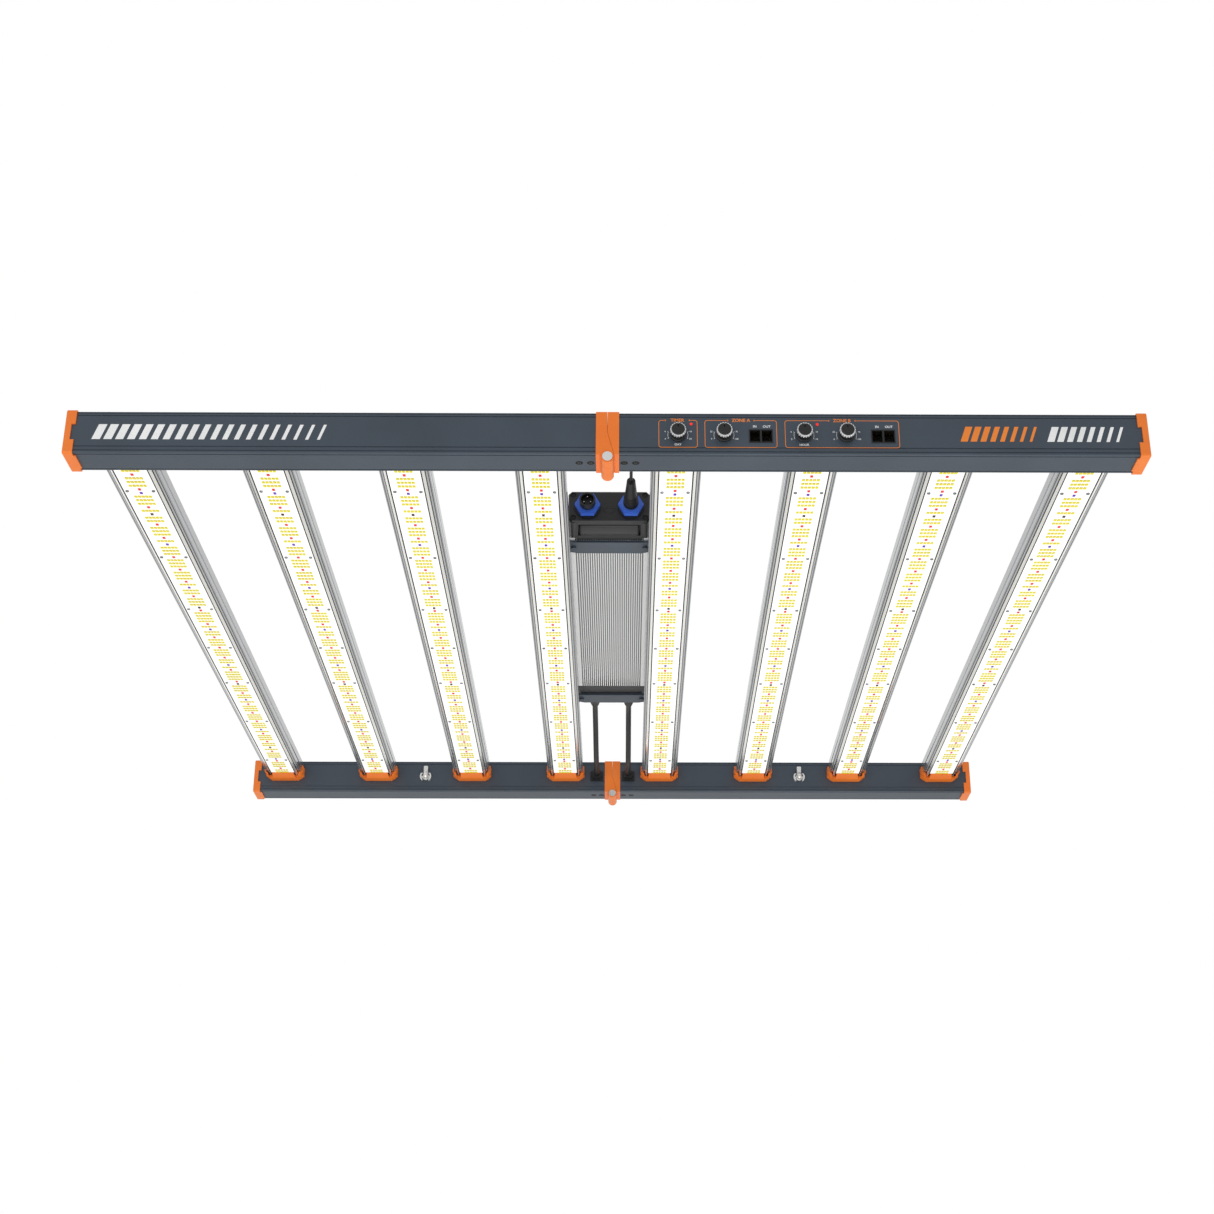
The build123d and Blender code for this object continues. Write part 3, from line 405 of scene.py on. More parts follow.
class Finish(Enum):
    """Every finish on the light."""

    # Anodised aluminium, slate grey, with die lines along the rails.
    RAIL = Metal("anodised_slate", "#3D4752", "#454F5B", 0.42, (4.0, 1500.0, 1500.0), 0.003, 0.2)
    # Extruded aluminium with clear anodising, drawn along the bars, coloured in bands of painted reflection and
    # painted shade.
    BAR = BarMetal("clear_anodised_aluminium")
    # The driver's housing: the same metal, duller, for cooling, with painted shade in the fin grooves.
    HOUSING = FinMetal("finned_aluminium", "#FAFAFA", "#A4A5A7", 74.9, 19.5)
    # Nickel-plated steel of screws, pins and fittings.
    STEEL = Metal("nickel_plated_steel", "#E0E0DE", "#F4F4F2", 0.22, (700.0, 700.0, 700.0), 0.002, 0.7)
    # Zinc-plated steel of the small board screws.
    ZINC = Metal("zinc_plated_steel", "#76787B", "#A5A7AA", 0.3, (900.0, 900.0, 900.0), 0.003)
    # Blackened steel screws.
    BLACK_STEEL = Metal("black_oxide_steel", "#08090A", "#121315", 0.45, (900.0, 900.0, 900.0), 0.003, 0.3)
    # Black-burnished socket heads, which hardly reflect.
    SOCKET = Metal("black_burnished_steel", "#020203", "#050506", 0.75, (900.0, 900.0, 900.0), 0.003, 0.0)
    # Gold flash on the jack contacts.
    GOLD = Metal("gold_plated_bronze", "#D9A53A", "#E9BC55", 0.2, (900.0, 900.0, 900.0), 0.001)
    # Injection-moulded orange ABS of hinges, end caps and clips.
    ORANGE = Plastic("orange_abs", "#F0761A", "#F58026", 0.42)
    # Black glass-filled nylon of the driver's end caps and plugs.
    BLACK = Plastic("black_nylon", "#111214", "#191A1C", 0.45, 0.5, 0.03)
    # Smoother black ABS of knobs and jacks.
    KNOB_BLACK = Plastic("black_abs", "#0C0D0E", "#141516", 0.5, 0.3, 0.01)
    # Blue nylon coupling nuts.
    BLUE = Plastic("blue_nylon", "#3662CA", "#4272DC", 0.34, 0.4, 0.012)
    # Matt EPDM rubber cable jackets and boots.
    RUBBER = Plastic("black_cable_rubber", "#08090A", "#101112", 0.42, 0.6, 0.02, 1.52)
    # Screen-printed enamel inks on the front rail.
    PRINT_ORANGE = Plastic("orange_screen_ink", "#EE8224", "#F68C2E", 0.5, 0.2, 0.004)
    PRINT_WHITE = Plastic("white_screen_ink", "#E8E9EA", "#FAFAFA", 0.5, 0.2, 0.004)
    # Satin nickel ring round a knob.
    RING = Metal("satin_nickel_ring", "#D0D1D2", "#ECEDEE", 0.28, (900.0, 900.0, 900.0), 0.002, 0.5)
    # White solder mask, LED housings and lenses; the mask and the lenses glow with painted light.
    BOARD = BoardMask("white_solder_mask", "#F2F2EF", "#FCFCFA")
    PACKAGE = Plastic("amber_led_housing", "#CDBC00", "#DACA00", 0.45, 0.15, 0.004)
    PHOSPHOR = Lens("yellow_phosphor_silicone", "#DACC00", "#E6D800", 0.2)
    RED_LENS = Lens("red_led_silicone", "#D01820", "#EA2630", 0.2)
    VIOLET_LENS = Lens("violet_led_silicone", "#5626A0", "#7340C4", 0.15)
    FAR_RED_LENS = Lens("far_red_led_silicone", "#34080F", "#4C101A")
    SIGNAL_LENS = Lens("red_signal_lens", "#D01414", "#F03028", 0.5)
    GREEN_BOARD = Plastic("green_solder_mask", "#12401F", "#1B5229", 0.35, 0.2, 0.004)

    def material(self) -> bpy.types.Material:
        """The finish's material, built once."""
        found = bpy.data.materials.get(self.value.name)
        return found or self.value.build()


# ---- mesh helpers -------------------------------------------------------------------

class Shape:
    """A bmesh in the row's frame, in millimetres until it is saved as a piece."""

    def __init__(self) -> None:
        """Starts empty."""
        self.bm = bmesh.new()
        self.finishes: list[Finish] = []

    def use(self, finish: Finish) -> int:
        """The material number of a finish on this piece.

        Args:
            finish: the finish, added if it is new.

        Returns:
            Its number.
        """
        if finish not in self.finishes:
            self.finishes.append(finish)
        return self.finishes.index(finish)

    def paint(self, geometry: Iterable, finish: Finish) -> None:
        """Gives the faces round these vertices a finish.

        Args:
            geometry: the vertices; anything else in it is skipped.
            finish: the finish.
        """
        number = self.use(finish)
        for vert in geometry:
            if isinstance(vert, bmesh.types.BMVert):
                for face in vert.link_faces:
                    face.material_index = number

    def box(self, low: Point, high: Point, finish: Finish, bevel: float = 0.0, segments: int = 1) -> list:
        """A box between two corners, with rounded edges if a bevel width is given.

        Args:
            low: one corner.
            high: the opposite corner.
            finish: its finish.
            bevel: how far its edges are rounded.
            segments: steps in each rounded edge.

        Returns:
            Its vertices.
        """
        centre = [(a + b) / 2 for a, b in zip(low, high)]
        size = [abs(b - a) for a, b in zip(low, high)]
        matrix = Matrix.Translation(centre) @ Matrix.Diagonal((*size, 1.0))
        verts = bmesh.ops.create_cube(self.bm, size=1.0, matrix=matrix)["verts"]
        self.paint(verts, finish)
        if bevel:
            edges = list(dict.fromkeys(edge for vert in verts for edge in vert.link_edges))
            rounded = bmesh.ops.bevel(self.bm, geom=edges, offset=bevel, segments=segments, profile=0.5,
                                      affect="EDGES", material=-1)
            verts = rounded["verts"]
        return verts

    def rod(self, start: Point, end: Point, radius: float, finish: Finish, radius_end: float | None = None,
            sides: int = 32) -> list:
        """A closed cylinder or cone between two points.

        Args:
            start: the middle of one end.
            end: the middle of the other end.
            radius: its radius at the start.
            finish: its finish.
            radius_end: its radius at the end, if it differs.
            sides: how many sides it has.

        Returns:
            Its vertices.
        """
        a, b = Vector(start), Vector(end)
        turn = (b - a).to_track_quat("Z", "Y").to_matrix().to_4x4()
        matrix = Matrix.Translation((a + b) / 2) @ turn
        verts = bmesh.ops.create_cone(self.bm, cap_ends=True, segments=sides, radius1=radius,
                                      radius2=radius if radius_end is None else radius_end,
                                      depth=(b - a).length, matrix=matrix)["verts"]
        self.paint(verts, finish)
        return verts

    def turned(self, profile: Sequence[Flat], origin: Point, finish: Finish, steps: int = 48) -> None:
        """A closed turned solid about a line along Y: the profile is (radius, y) points.

        Args:
            profile: the points of its outline.
            origin: a point on the line.
            finish: its finish.
            steps: how many steps make the full turn.
        """
        centre = Vector(origin)
        verts = [self.bm.verts.new(centre + Vector((radius, y, 0.0))) for radius, y in profile]
        edges = [self.bm.edges.new(pair) for pair in zip(verts, verts[1:])]
        spun = bmesh.ops.spin(self.bm, geom=verts + edges, cent=centre, axis=(0.0, 1.0, 0.0), steps=steps,
                              angle=math.tau, use_merge=True)
        walk = [vert for vert in spun["geom_last"] if isinstance(vert, bmesh.types.BMVert)] + verts
        whole = connected(walk)
        bmesh.ops.remove_doubles(self.bm, verts=whole, dist=1e-5)
        self.paint([vert for vert in whole if vert.is_valid], finish)

    def sheet(self, points: Sequence[Point], finish: Finish) -> None:
        """One flat face through the points.

        Args:
            points: its corners in order.
            finish: its finish.
        """
        face = self.bm.faces.new([self.bm.verts.new(point) for point in points])
        face.material_index = self.use(finish)

    def save(self, name: str, body: str | None, slot: str, smooth: float = 35.0,
             outward: bool = True) -> bpy.types.Object:
        """Makes the piece and fixes it to its body, if it rides on one.

        Args:
            name: the piece's name.
            body: the CAD body that it rides on.
            slot: the record's material slot; not used.
            smooth: edges flatter than this many degrees are shaded smooth.
            outward: whether the shape is closed, so that its normals can be turned outwards.

        Returns:
            The new object.
        """
        if outward:
            bmesh.ops.recalc_face_normals(self.bm, faces=self.bm.faces)
        bmesh.ops.scale(self.bm, verts=self.bm.verts, vec=(MM, MM, MM))
        for face in self.bm.faces:
            face.smooth = True
        for edge in self.bm.edges:
            edge.smooth = not edge.is_manifold or edge.calc_face_angle(0.0) < math.radians(smooth)
        mesh = bpy.data.meshes.new(name)
        self.bm.to_mesh(mesh)
        self.bm.free()
        for finish in self.finishes:
            mesh.materials.append(finish.material())
        piece = bpy.data.objects.new(name, mesh)
        bpy.context.scene.collection.objects.link(piece)
        if body is not None:
            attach(piece, body)
        return piece


def connected(start: Iterable) -> list:
    """Every vertex that edges join to these, always in the same order.

    Args:
        start: the first vertices.

    Returns:
        All of them, with the first.
    """
    seen = dict.fromkeys(start)
    queue = list(seen)
    while queue:
        for edge in queue.pop().link_edges:
            for vert in edge.verts:
                if vert not in seen:
                    seen[vert] = None
                    queue.append(vert)
    return list(seen)


def low_mm(node: str) -> Vector:
    """A CAD node's lowest corner, in millimetres."""
    return Vector(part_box(node)[0]) / MM


def high_mm(node: str) -> Vector:
    """A CAD node's highest corner, in millimetres."""
    return Vector(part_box(node)[1]) / MM


def middle_mm(node: str) -> Vector:
    """The middle of a CAD node's box, in millimetres."""
    return (low_mm(node) + high_mm(node)) / 2


def mount_mm(name: str) -> Vector:
    """A mount's place from the record, in millimetres.

    Args:
        name: the mount's name.

    Returns:
        Its position.
    """
    for mount in frame["record"]["mounts"]:
        if mount["name"] == name:
            return Vector(mount["pos_m"]) / MM
    raise KeyError(name)


# ---- LED bars -----------------------------------------------------------------------

class Led(Enum):
    """A kind of LED, by its letter in the board's layout."""

    WHITE = "Y"
    RED = "R"
    VIOLET = "V"
    FAR_RED = "D"

    @property
    def lens(self) -> Finish:
        """The finish of its lens."""
        return {"Y": Finish.PHOSPHOR, "R": Finish.RED_LENS, "V": Finish.VIOLET_LENS,
                "D": Finish.FAR_RED_LENS}[self.value]


@dataclass
class LedBoards:
    """The LEDs of all eight boards: rows of five white ones, and single coloured ones between."""

    # From the board's middle outwards, one letter for each step; the other half mirrors it.
    half_layout: str = "RYYYRYYVYRYYYYRDYYYRYYVYRYYYRYYYRYYYVYRYYYRYYDYRYYYVRYYYRYY"
    step: float = 8.47
    across: float = 3.95
    per_row: int = 5
    width: float = 3.0
    length: float = 3.9
    height: float = 0.75

    def places(self) -> list[tuple[float, Led]]:
        """Each step along the board, from its middle, with its kind of LED.

        Returns:
            Pairs of distance and kind.
        """
        steps = []
        for i, letter in enumerate(self.half_layout):
            for side in ((1,) if i == 0 else (-1, 1)):
                steps.append((side * i * self.step, Led(letter)))
        return steps

    def led(self, shape: Shape, x: float, y: float, z: float, kind: Led) -> None:
        """One package under the board: its housing, and a lens that fills its face.

        Args:
            shape: the shape that it joins.
            x: its middle across the bar.
            y: its middle along the bar.
            z: the board's underside.
            kind: what it is.
        """
        w, l = self.width / 2, self.length / 2
        bottom = z - self.height
        side = Finish.PACKAGE if kind is Led.WHITE else kind.lens
        shape.box((x - w, y - l, bottom), (x + w, y + l, z), side)
        inset = 0.12
        shape.box((x - w + inset, y - l + inset, bottom - 0.16), (x + w - inset, y + l - inset, bottom + 0.1),
                  kind.lens, bevel=0.14)

    def build(self) -> None:
        """Adds one piece of LEDs for each bar."""
        board_z = low_mm("led_boards_right").z
        middle_y = middle_mm("led_boards_right").y
        template = {kind: self.template(kind) for kind in Led}
        for number in range(1, 9):
            bar = f"bar_{number}"
            body = "left_half" if number <= 4 else "right_half"
            x = middle_mm(bar).x
            shape = Shape()
            for dy, kind in self.places():
                finishes, mesh = template[kind]
                numbers = [shape.use(finish) for finish in finishes]
                before = len(shape.bm.faces)
                copy = mesh.copy()
                copy.transform(Matrix.Translation((x, middle_y + dy, board_z)))
                shape.bm.from_mesh(copy)
                bpy.data.meshes.remove(copy)
                shape.bm.faces.ensure_lookup_table()
                for face in shape.bm.faces[before:]:
                    face.material_index = numbers[face.material_index]
            shape.save(f"leds_bar_{number}", body, "white_board")
        for _, mesh in template.values():
            bpy.data.meshes.remove(mesh)

    def template(self, kind: Led) -> tuple[list[Finish], bpy.types.Mesh]:
        """The LEDs of one step, at the origin: a row of white ones, or one coloured one.

        Args:
            kind: what they are.

        Returns:
            Their finishes and their mesh.
        """
        shape = Shape()
        count = self.per_row if kind is Led.WHITE else 1
        for i in range(count):
            self.led(shape, (i - (count - 1) / 2) * self.across, 0.0, 0.0, kind)
        bmesh.ops.recalc_face_normals(shape.bm, faces=shape.bm.faces)
        mesh = bpy.data.meshes.new(f"led_template_{kind.name}")
        shape.bm.to_mesh(mesh)
        shape.bm.free()
        return shape.finishes, mesh


# ---- printed panel ------------------------------------------------------------------

@dataclass
class PanelPrint:
    """Screen printing on the front rail: frames, titles, dial scales and plain stripes."""

    lift: float = 0.06
    line: float = 0.6
    thin: float = 0.32
    frame_bottom: float = 17.9
    frame_top: float = 49.0
    corner: float = 2.6
    dot_r: float = 0.9
    stripe_low: float = 25.4
    stripe_high: float = 42.6
    stripe_lean: float = 0.35
    shapes: dict[Finish, Shape] = field(default_factory=dict)

    def shape(self, finish: Finish) -> Shape:
        """The shape that collects one ink."""
        return self.shapes.setdefault(finish, Shape())

    @property
    def y(self) -> float:
        """The plane of the ink, just in front of the rail."""
        return low_mm("front_rail_right").y - self.lift

    def stroke(self, points: Sequence[Flat], width: float, finish: Finish) -> None:
        """A line of even width through (x, z) points, mitred where it turns.

        Args:
            points: the points.
            width: its width.
            finish: the ink.
        """
        ink = self.shape(finish)
        verts = []
        for i, point in enumerate(points):
            here = Vector(point)
            ahead = Vector(points[min(i + 1, len(points) - 1)]) - Vector(points[max(i - 1, 0)])
            side = Vector((-ahead.y, ahead.x)).normalized() * width / 2
            verts.append([ink.bm.verts.new((p.x, self.y, p.y)) for p in (here + side, here - side)])
        number = ink.use(finish)
        for (a, b), (c, d) in zip(verts, verts[1:]):
            face = ink.bm.faces.new((a, b, d, c))
            face.material_index = number

    def disc(self, x: float, z: float, radius: float, finish: Finish) -> None:
        """A round dot.

        Args:
            x: its middle.
            z: its middle.
            radius: its radius.
            finish: the ink.
        """
        ring = [(x + radius * math.cos(a), self.y, z + radius * math.sin(a))
                for a in (math.tau * i / 16 for i in range(16))]
        self.shape(finish).sheet(ring, finish)

    def arc(self, x: float, z: float, radius: float, start: float, end: float) -> list[Flat]:
        """Points along an arc, in degrees.

        Args:
            x: its centre.
            z: its centre.
            radius: its radius.
            start: where it starts.
            end: where it ends.

        Returns:
            The points as (x, z).
        """
        count = max(3, round(abs(end - start) / 9))
        angles = [math.radians(start + (end - start) * i / count) for i in range(count + 1)]
        return [(x + radius * math.cos(a), z + radius * math.sin(a)) for a in angles]

    def words(self, text: str, x: float, z: float, height: float, finish: Finish, bold: float = 0.0) -> None:
        """A word in the built-in plain face, centred on (x, z), as flat mesh.

        Args:
            text: the word.
            x: its middle.
            z: its middle.
            height: the height of a capital.
            finish: the ink.
            bold: how far its outline is grown.
        """
        curve = bpy.data.curves.new("word", "FONT")
        curve.body = text
        curve.size = height / 0.7
        curve.align_x = "CENTER"
        curve.align_y = "CENTER"
        curve.offset = bold
        curve.resolution_u = 3
        holder = bpy.data.objects.new("word", curve)
        bpy.context.scene.collection.objects.link(holder)
        mesh = bpy.data.meshes.new_from_object(holder.evaluated_get(bpy.context.evaluated_depsgraph_get()))
        mesh.transform(Matrix.Translation((x, self.y, z)) @ Matrix.Rotation(math.pi / 2, 4, "X"))
        ink = self.shape(finish)
        number = ink.use(finish)
        for polygon in mesh.polygons:
            polygon.material_index = number
        ink.bm.from_mesh(mesh)
        bpy.data.objects.remove(holder)
        bpy.data.curves.remove(curve)
        bpy.data.meshes.remove(mesh)

    def frame(self, x0: float, x1: float, title: str, title_x: float, title_width: float) -> None:
        """A rounded outline, open at the top for its title, with a dot at each end of the gap.

        Args:
            x0: its left side.
            x1: its right side.
            title: the title.
            title_x: the title's middle.
            title_width: the gap for it.
        """
        low, high, r = self.frame_bottom, self.frame_top, self.corner
        gap = title_width / 2
        points = [(title_x - gap, high), (x0 + r, high)]
        points += self.arc(x0 + r, high - r, r, 90, 180) + self.arc(x0 + r, low + r, r, 180, 270)
        points += self.arc(x1 - r, low + r, r, 270, 360) + self.arc(x1 - r, high - r, r, 0, 90)
        points += [(title_x + gap, high)]
        self.stroke(points, self.line, Finish.PRINT_ORANGE)
        for x in (title_x - gap, title_x + gap):
            self.disc(x, high, self.dot_r, Finish.PRINT_ORANGE)
        self.words(title, title_x, high, 3.5, Finish.PRINT_ORANGE, 0.12)

    def scale(self, knob: str, marks: Sequence[str]) -> None:
        """Two brackets round a knob, each with a tick and a mark at both ends.

        Args:
            knob: the knob's CAD node.
            marks: lower left, upper left, upper right and lower right.
        """
        x, z = middle_mm(knob).x, middle_mm(knob).z
        for i, mark in enumerate(marks):
            angle = (203, 160, 20, -23)[i]
            side = -1 if i < 2 else 1
            out = self.arc(x, z, 11.4, angle, angle + 1)[0]
            self.stroke([self.arc(x, z, 10.0, angle, angle + 1)[0], out], self.thin, Finish.PRINT_WHITE)
            self.words(mark, out[0] + side * 2.2, out[1], 1.7, Finish.PRINT_WHITE, 0.03)
        for start, end in ((160, 203), (-23, 20)):
            self.stroke(self.arc(x, z, 10.2, start, end), self.thin, Finish.PRINT_WHITE)

    def stripes(self, x0: float, x1: float, pitch: float, finish: Finish) -> None:
        """A row of plain slanting bars that get narrower.

        Args:
            x0: where the row starts.
            x1: where the row ends.
            pitch: from one bar to the next.
            finish: the ink.
        """
        low, high = self.stripe_low, self.stripe_high
        lean = (high - low) * self.stripe_lean
        count = int((x1 - x0) / pitch)
        for i in range(count):
            x = x0 + i * pitch
            width = pitch * (0.72 - 0.5 * i / count)
            points = [(x, low), (x + width, low), (x + width + lean, high), (x + lean, high)]
            self.shape(finish).sheet([(px, self.y, pz) for px, pz in points], finish)

    def build(self) -> None:
        """Prints the right half's panel and both halves' stripes."""
        self.frame(52.1, 91.1, "TIMER", 71.0, 25.0)
        self.frame(98.9, 171.8, "ZONE A", 135.7, 27.4)
        self.frame(180.4, 296.1, "ZONE B", 238.6, 27.4)
        self.scale("timer_knob", ("0", "6", "18", "24"))
        self.scale("zone_a_dimmer_knob", ("0", "25", "75", "100"))
        self.scale("zone_b_timer_knob", ("0", "6", "18", "24"))
        self.scale("zone_b_dimmer_knob", ("0", "25", "75", "100"))
        for knob, word in (("timer_knob", "DAY"), ("zone_b_timer_knob", "HOUR")):
            self.words(word, middle_mm(knob).x, 21.0, 2.4, Finish.PRINT_WHITE, 0.05)
        for zone in "ab":
            for way in ("in", "out"):
                jack = mount_mm(f"zone_{zone}_{way}_jack")
                self.words(way.upper(), jack.x, jack.z + 11.0, 2.6, Finish.PRINT_WHITE, 0.06)
        self.stripes(358.0, 440.0, 10.0, Finish.PRINT_ORANGE)
        self.stripes(446.0, 526.0, 10.0, Finish.PRINT_WHITE)
        for finish, shape in list(self.shapes.items()):
            shape.save(f"panel_{finish.value.name}_right", "right_half", "rail_coating", outward=False)
        self.shapes.clear()
        self.stripes(-522.0, -276.0, 12.0, Finish.PRINT_WHITE)
        white = self.shapes.pop(Finish.PRINT_WHITE)
        white.save("panel_stripes_left", "left_half", "rail_coating", outward=False)


# ---- knobs, jacks and connectors ----------------------------------------------------

@dataclass
class Knobs:
    """The four knobs: a fluted grip, a bright scalloped ring and a white pointer."""

    names: tuple[str, ...] = ("timer_knob", "zone_a_dimmer_knob", "zone_b_timer_knob", "zone_b_dimmer_knob")
    lobes: int = 18
    depth: float = 13.0
    shaft_r: float = 3.0
    pointer_half: float = 0.45

    def ripple(self, shape: Shape, centre: Vector, spans: Sequence[tuple[float, float]], depth: float,
               count: int, finish: Finish) -> None:
        """A closed solid whose outline has lobes: spans are (y, radius) rings from back to front.

        Args:
            shape: the shape that it joins.
            centre: a point on its axis.
            spans: its rings.
            depth: how deep the hollows between lobes are.
            count: how many lobes it has.
            finish: its finish.
        """
        steps = count * 6
        rings = []
        for y, radius in spans:
            ring = []
            for i in range(steps):
                angle = math.tau * i / steps
                r = radius - depth * (0.5 - 0.5 * math.cos(angle * count)) ** 2
                place = (centre.x + r * math.cos(angle), y, centre.z + r * math.sin(angle))
                ring.append(shape.bm.verts.new(place))
            rings.append(ring)
        for lower, upper in zip(rings, rings[1:]):
            for i in range(steps):
                j = (i + 1) % steps
                shape.bm.faces.new((lower[i], lower[j], upper[j], upper[i]))
        shape.bm.faces.new(list(reversed(rings[0])))
        shape.bm.faces.new(rings[-1])
        shape.paint([vert for ring in rings for vert in ring], finish)

    def build(self) -> None:
        """Adds each knob in place of its CAD node."""
        for name in self.names:
            low, high = low_mm(name), high_mm(name)
            centre = (low + high) / 2
            radius = (high.x - low.x) / 2
            front = low.y
            back = front + self.depth
            shape = Shape()
            skirt = [(back, radius - 0.5), (back - 0.4, radius), (back - 1.6, radius),
                     (back - 2.2, radius - 0.9)]
            self.ripple(shape, centre, skirt, 0.0, 12, Finish.KNOB_BLACK)
            grip = [(back - 2.0, radius - 0.9), (front + 4.3, radius - 1.2), (front + 4.0, radius - 1.5)]
            self.ripple(shape, centre, grip, 0.8, 24, Finish.KNOB_BLACK)
            ring = [(front + 4.1, radius - 0.6), (front + 3.8, radius - 0.02), (front + 1.2, radius - 0.02),
                    (front + 0.7, radius - 0.3)]
            self.ripple(shape, centre, ring, 0.9, self.lobes, Finish.RING)
            face = [(front + 1.2, radius - 1.35), (front + 0.4, radius - 1.4), (front + 0.1, radius - 1.8),
                    (front, radius - 2.4)]
            self.ripple(shape, centre, face, 0.0, 12, Finish.KNOB_BLACK)
            shape.rod((centre.x, back - 1, centre.z), (centre.x, high.y, centre.z), self.shaft_r,
                      Finish.STEEL)
            low_end = (centre.x - self.pointer_half, front, centre.z + 2.2)
            high_end = (centre.x + self.pointer_half, front + 0.5, centre.z + 6.0)
            shape.box(low_end, high_end, Finish.PRINT_WHITE)
            piece = shape.save(f"{name}_detailed", name, "black_plastic", smooth=40.0)
            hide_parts(name)


@dataclass
class Contacts:
    """Gold contacts in the jacks and bright pins in the mains inlet."""

    per_jack: int = 8
    pin_circle: float = 4.3

    def build(self) -> None:
        """Adds the contacts and the pins."""
        shape = Shape()
        for zone in "ab":
            for way in ("in", "out"):
                jack = mount_mm(f"zone_{zone}_{way}_jack")
                for i in range(self.per_jack):
                    x = jack.x + (i - (self.per_jack - 1) / 2) * 1.02
                    start, end = (x, jack.y + 11.8, jack.z + 1.0), (x, jack.y + 3.2, jack.z + 5.4)
                    shape.rod(start, end, 0.22, Finish.GOLD, sides=8)
        shape.save("jack_contacts", "right_half", "bright_steel")
        inlet = mount_mm("mains_inlet")
        shape = Shape()
        for i in range(3):
            angle = math.radians(90 + 120 * i)
            x = inlet.x + self.pin_circle * math.cos(angle)
            z = inlet.z + self.pin_circle * math.sin(angle)
            shape.turned([(0.0, inlet.y + 1.9), (0.45, inlet.y + 1.9), (0.8, inlet.y + 2.5), (0.8, inlet.y + 8.2),
                          (0.0, inlet.y + 8.2)], (x, 0.0, z), Finish.STEEL, steps=20)
        shape.save("inlet_pins", "right_half", "bright_steel")


@dataclass
class HingeScrewHeads:
    """Black socket heads with a bright-rimmed hexagon in the rails' countersinks."""

    places: tuple[float, ...] = (17.0, 28.8)
    radius: float = 3.75
    socket_r: float = 1.5

    def build(self) -> None:
        """Adds one piece of heads for each half."""
        for half, side in (("left", -1), ("right", 1)):
            shape = Shape()
            for end in ("front", "rear"):
                low, high = low_mm(f"{end}_rail_{half}"), high_mm(f"{end}_rail_{half}")
                y, z = (low.y + high.y) / 2, low.z
                for x in (side * place for place in self.places):
                    shape.rod((x, y, z - 0.05), (x, y, z + 1.0), self.radius, Finish.SOCKET)
                    shape.rod((x, y, z - 0.2), (x, y, z), self.socket_r, Finish.ZINC, sides=6)
                    shape.rod((x, y, z - 0.24), (x, y, z - 0.1), self.socket_r * 0.8, Finish.SOCKET, sides=6)
            shape.save(f"hinge_screw_heads_{half}", f"{half}_half", "black_steel")


@dataclass
class BarClips:
    """The orange cradles at the bars' ends: a sloping tongue between two hooked arms."""

    half: float = 28.5
    length: float = 26.6
    bottom: float = 26.0
    tongue_half: float = 17.2
    slope: float = 13.0

    def prism(self, shape: Shape, outline: Sequence[Flat], x: float, ends: tuple[float, float]) -> list:
        """A closed prism along Y from an (x, z) outline.

        Args:
            shape: the shape that it joins.
            outline: its corners, from x.
            x: where its middle is.
            ends: the y of both ends.

        Returns:
            Its vertices.
        """
        rings = [[shape.bm.verts.new((x + px, y, pz)) for px, pz in outline] for y in ends]
        for i in range(len(outline)):
            j = (i + 1) % len(outline)
            shape.bm.faces.new((rings[0][i], rings[0][j], rings[1][j], rings[1][i]))
        shape.bm.faces.new(list(reversed(rings[0])))
        shape.bm.faces.new(rings[1])
        verts = rings[0] + rings[1]
        shape.paint(verts, Finish.ORANGE)
        return verts

    def clip(self, shape: Shape, x: float, rail_face: float, inward: float, seat: float) -> None:
        """One clip: its back web, its tongue with a sloping nose, and an arm on each side.

        Args:
            shape: the shape that it joins.
            x: the bar's middle.
            rail_face: the y of the rail's inner face.
            inward: 1.0 or -1.0, the way into the frame along Y.
            seat: where the board rests on it.
        """
        tip = rail_face + inward * self.length
        low, half = self.bottom, self.half
        nose = self.slope
        web = [(-20.0, low), (20.0, low), (half - 3.5, low + 3.2), (half, low + 7.0), (half, seat + 1.6),
               (22.6, seat + 1.6), (19.0, seat), (-19.0, seat), (-22.6, seat + 1.6), (-half, seat + 1.6),
               (-half, low + 7.0), (-half + 3.5, low + 3.2)]
        self.prism(shape, web, x, (rail_face, tip - inward * nose))
        tongue = self.prism(shape, [(-self.tongue_half, low), (self.tongue_half, low), (self.tongue_half, seat),
                                    (-self.tongue_half, seat)], x, (tip - inward * (nose + 0.2), tip))
        for vert in tongue:
            if abs(vert.co.y - tip) < 0.01 and abs(vert.co.z - low) < 0.01:
                vert.co.z = seat - 1.2
            if abs(vert.co.y - tip) < 0.01:
                vert.co.x = x + (vert.co.x - x) * 0.93
        for side in (-1, 1):
            arm = [(side * (half - 5.2), low + 4.4), (side * (half - 2.4), low + 4.4), (side * half, low + 7.4),
                   (side * half, low + 18.4), (side * 26.6, low + 18.4), (side * 26.6, low + 8.4)]
            verts = self.prism(shape, arm, x, (rail_face, tip))
            for vert in verts:
                if abs(vert.co.y - tip) < 0.01 and vert.co.z > low + 18:
                    vert.co.y -= inward * 9.0
            foot = [(side * 22.3, low + 1.8), (side * (half - 3.0), low + 3.4), (side * (half - 2.0), low + 5.4),
                    (side * 23.4, low + 4.2)]
            self.prism(shape, foot, x, (tip - inward * nose, tip - inward * 3.0))

    def build(self) -> None:
        """Adds each half's clips in place of its CAD node."""
        seat = low_mm("led_boards_right").z - 0.2
        front, rear = high_mm("front_rail_right").y, low_mm("rear_rail_right").y
        for side, numbers in (("left", range(1, 5)), ("right", range(5, 9))):
            shape = Shape()
            for number in numbers:
                x = middle_mm(f"bar_{number}").x
                self.clip(shape, x, front, 1.0, seat)
                self.clip(shape, x, rear, -1.0, seat)
            piece = shape.save(f"bar_clips_detailed_{side}", f"{side}_half", "orange_plastic", smooth=30.0)
            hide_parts(f"bar_clips_{side}")


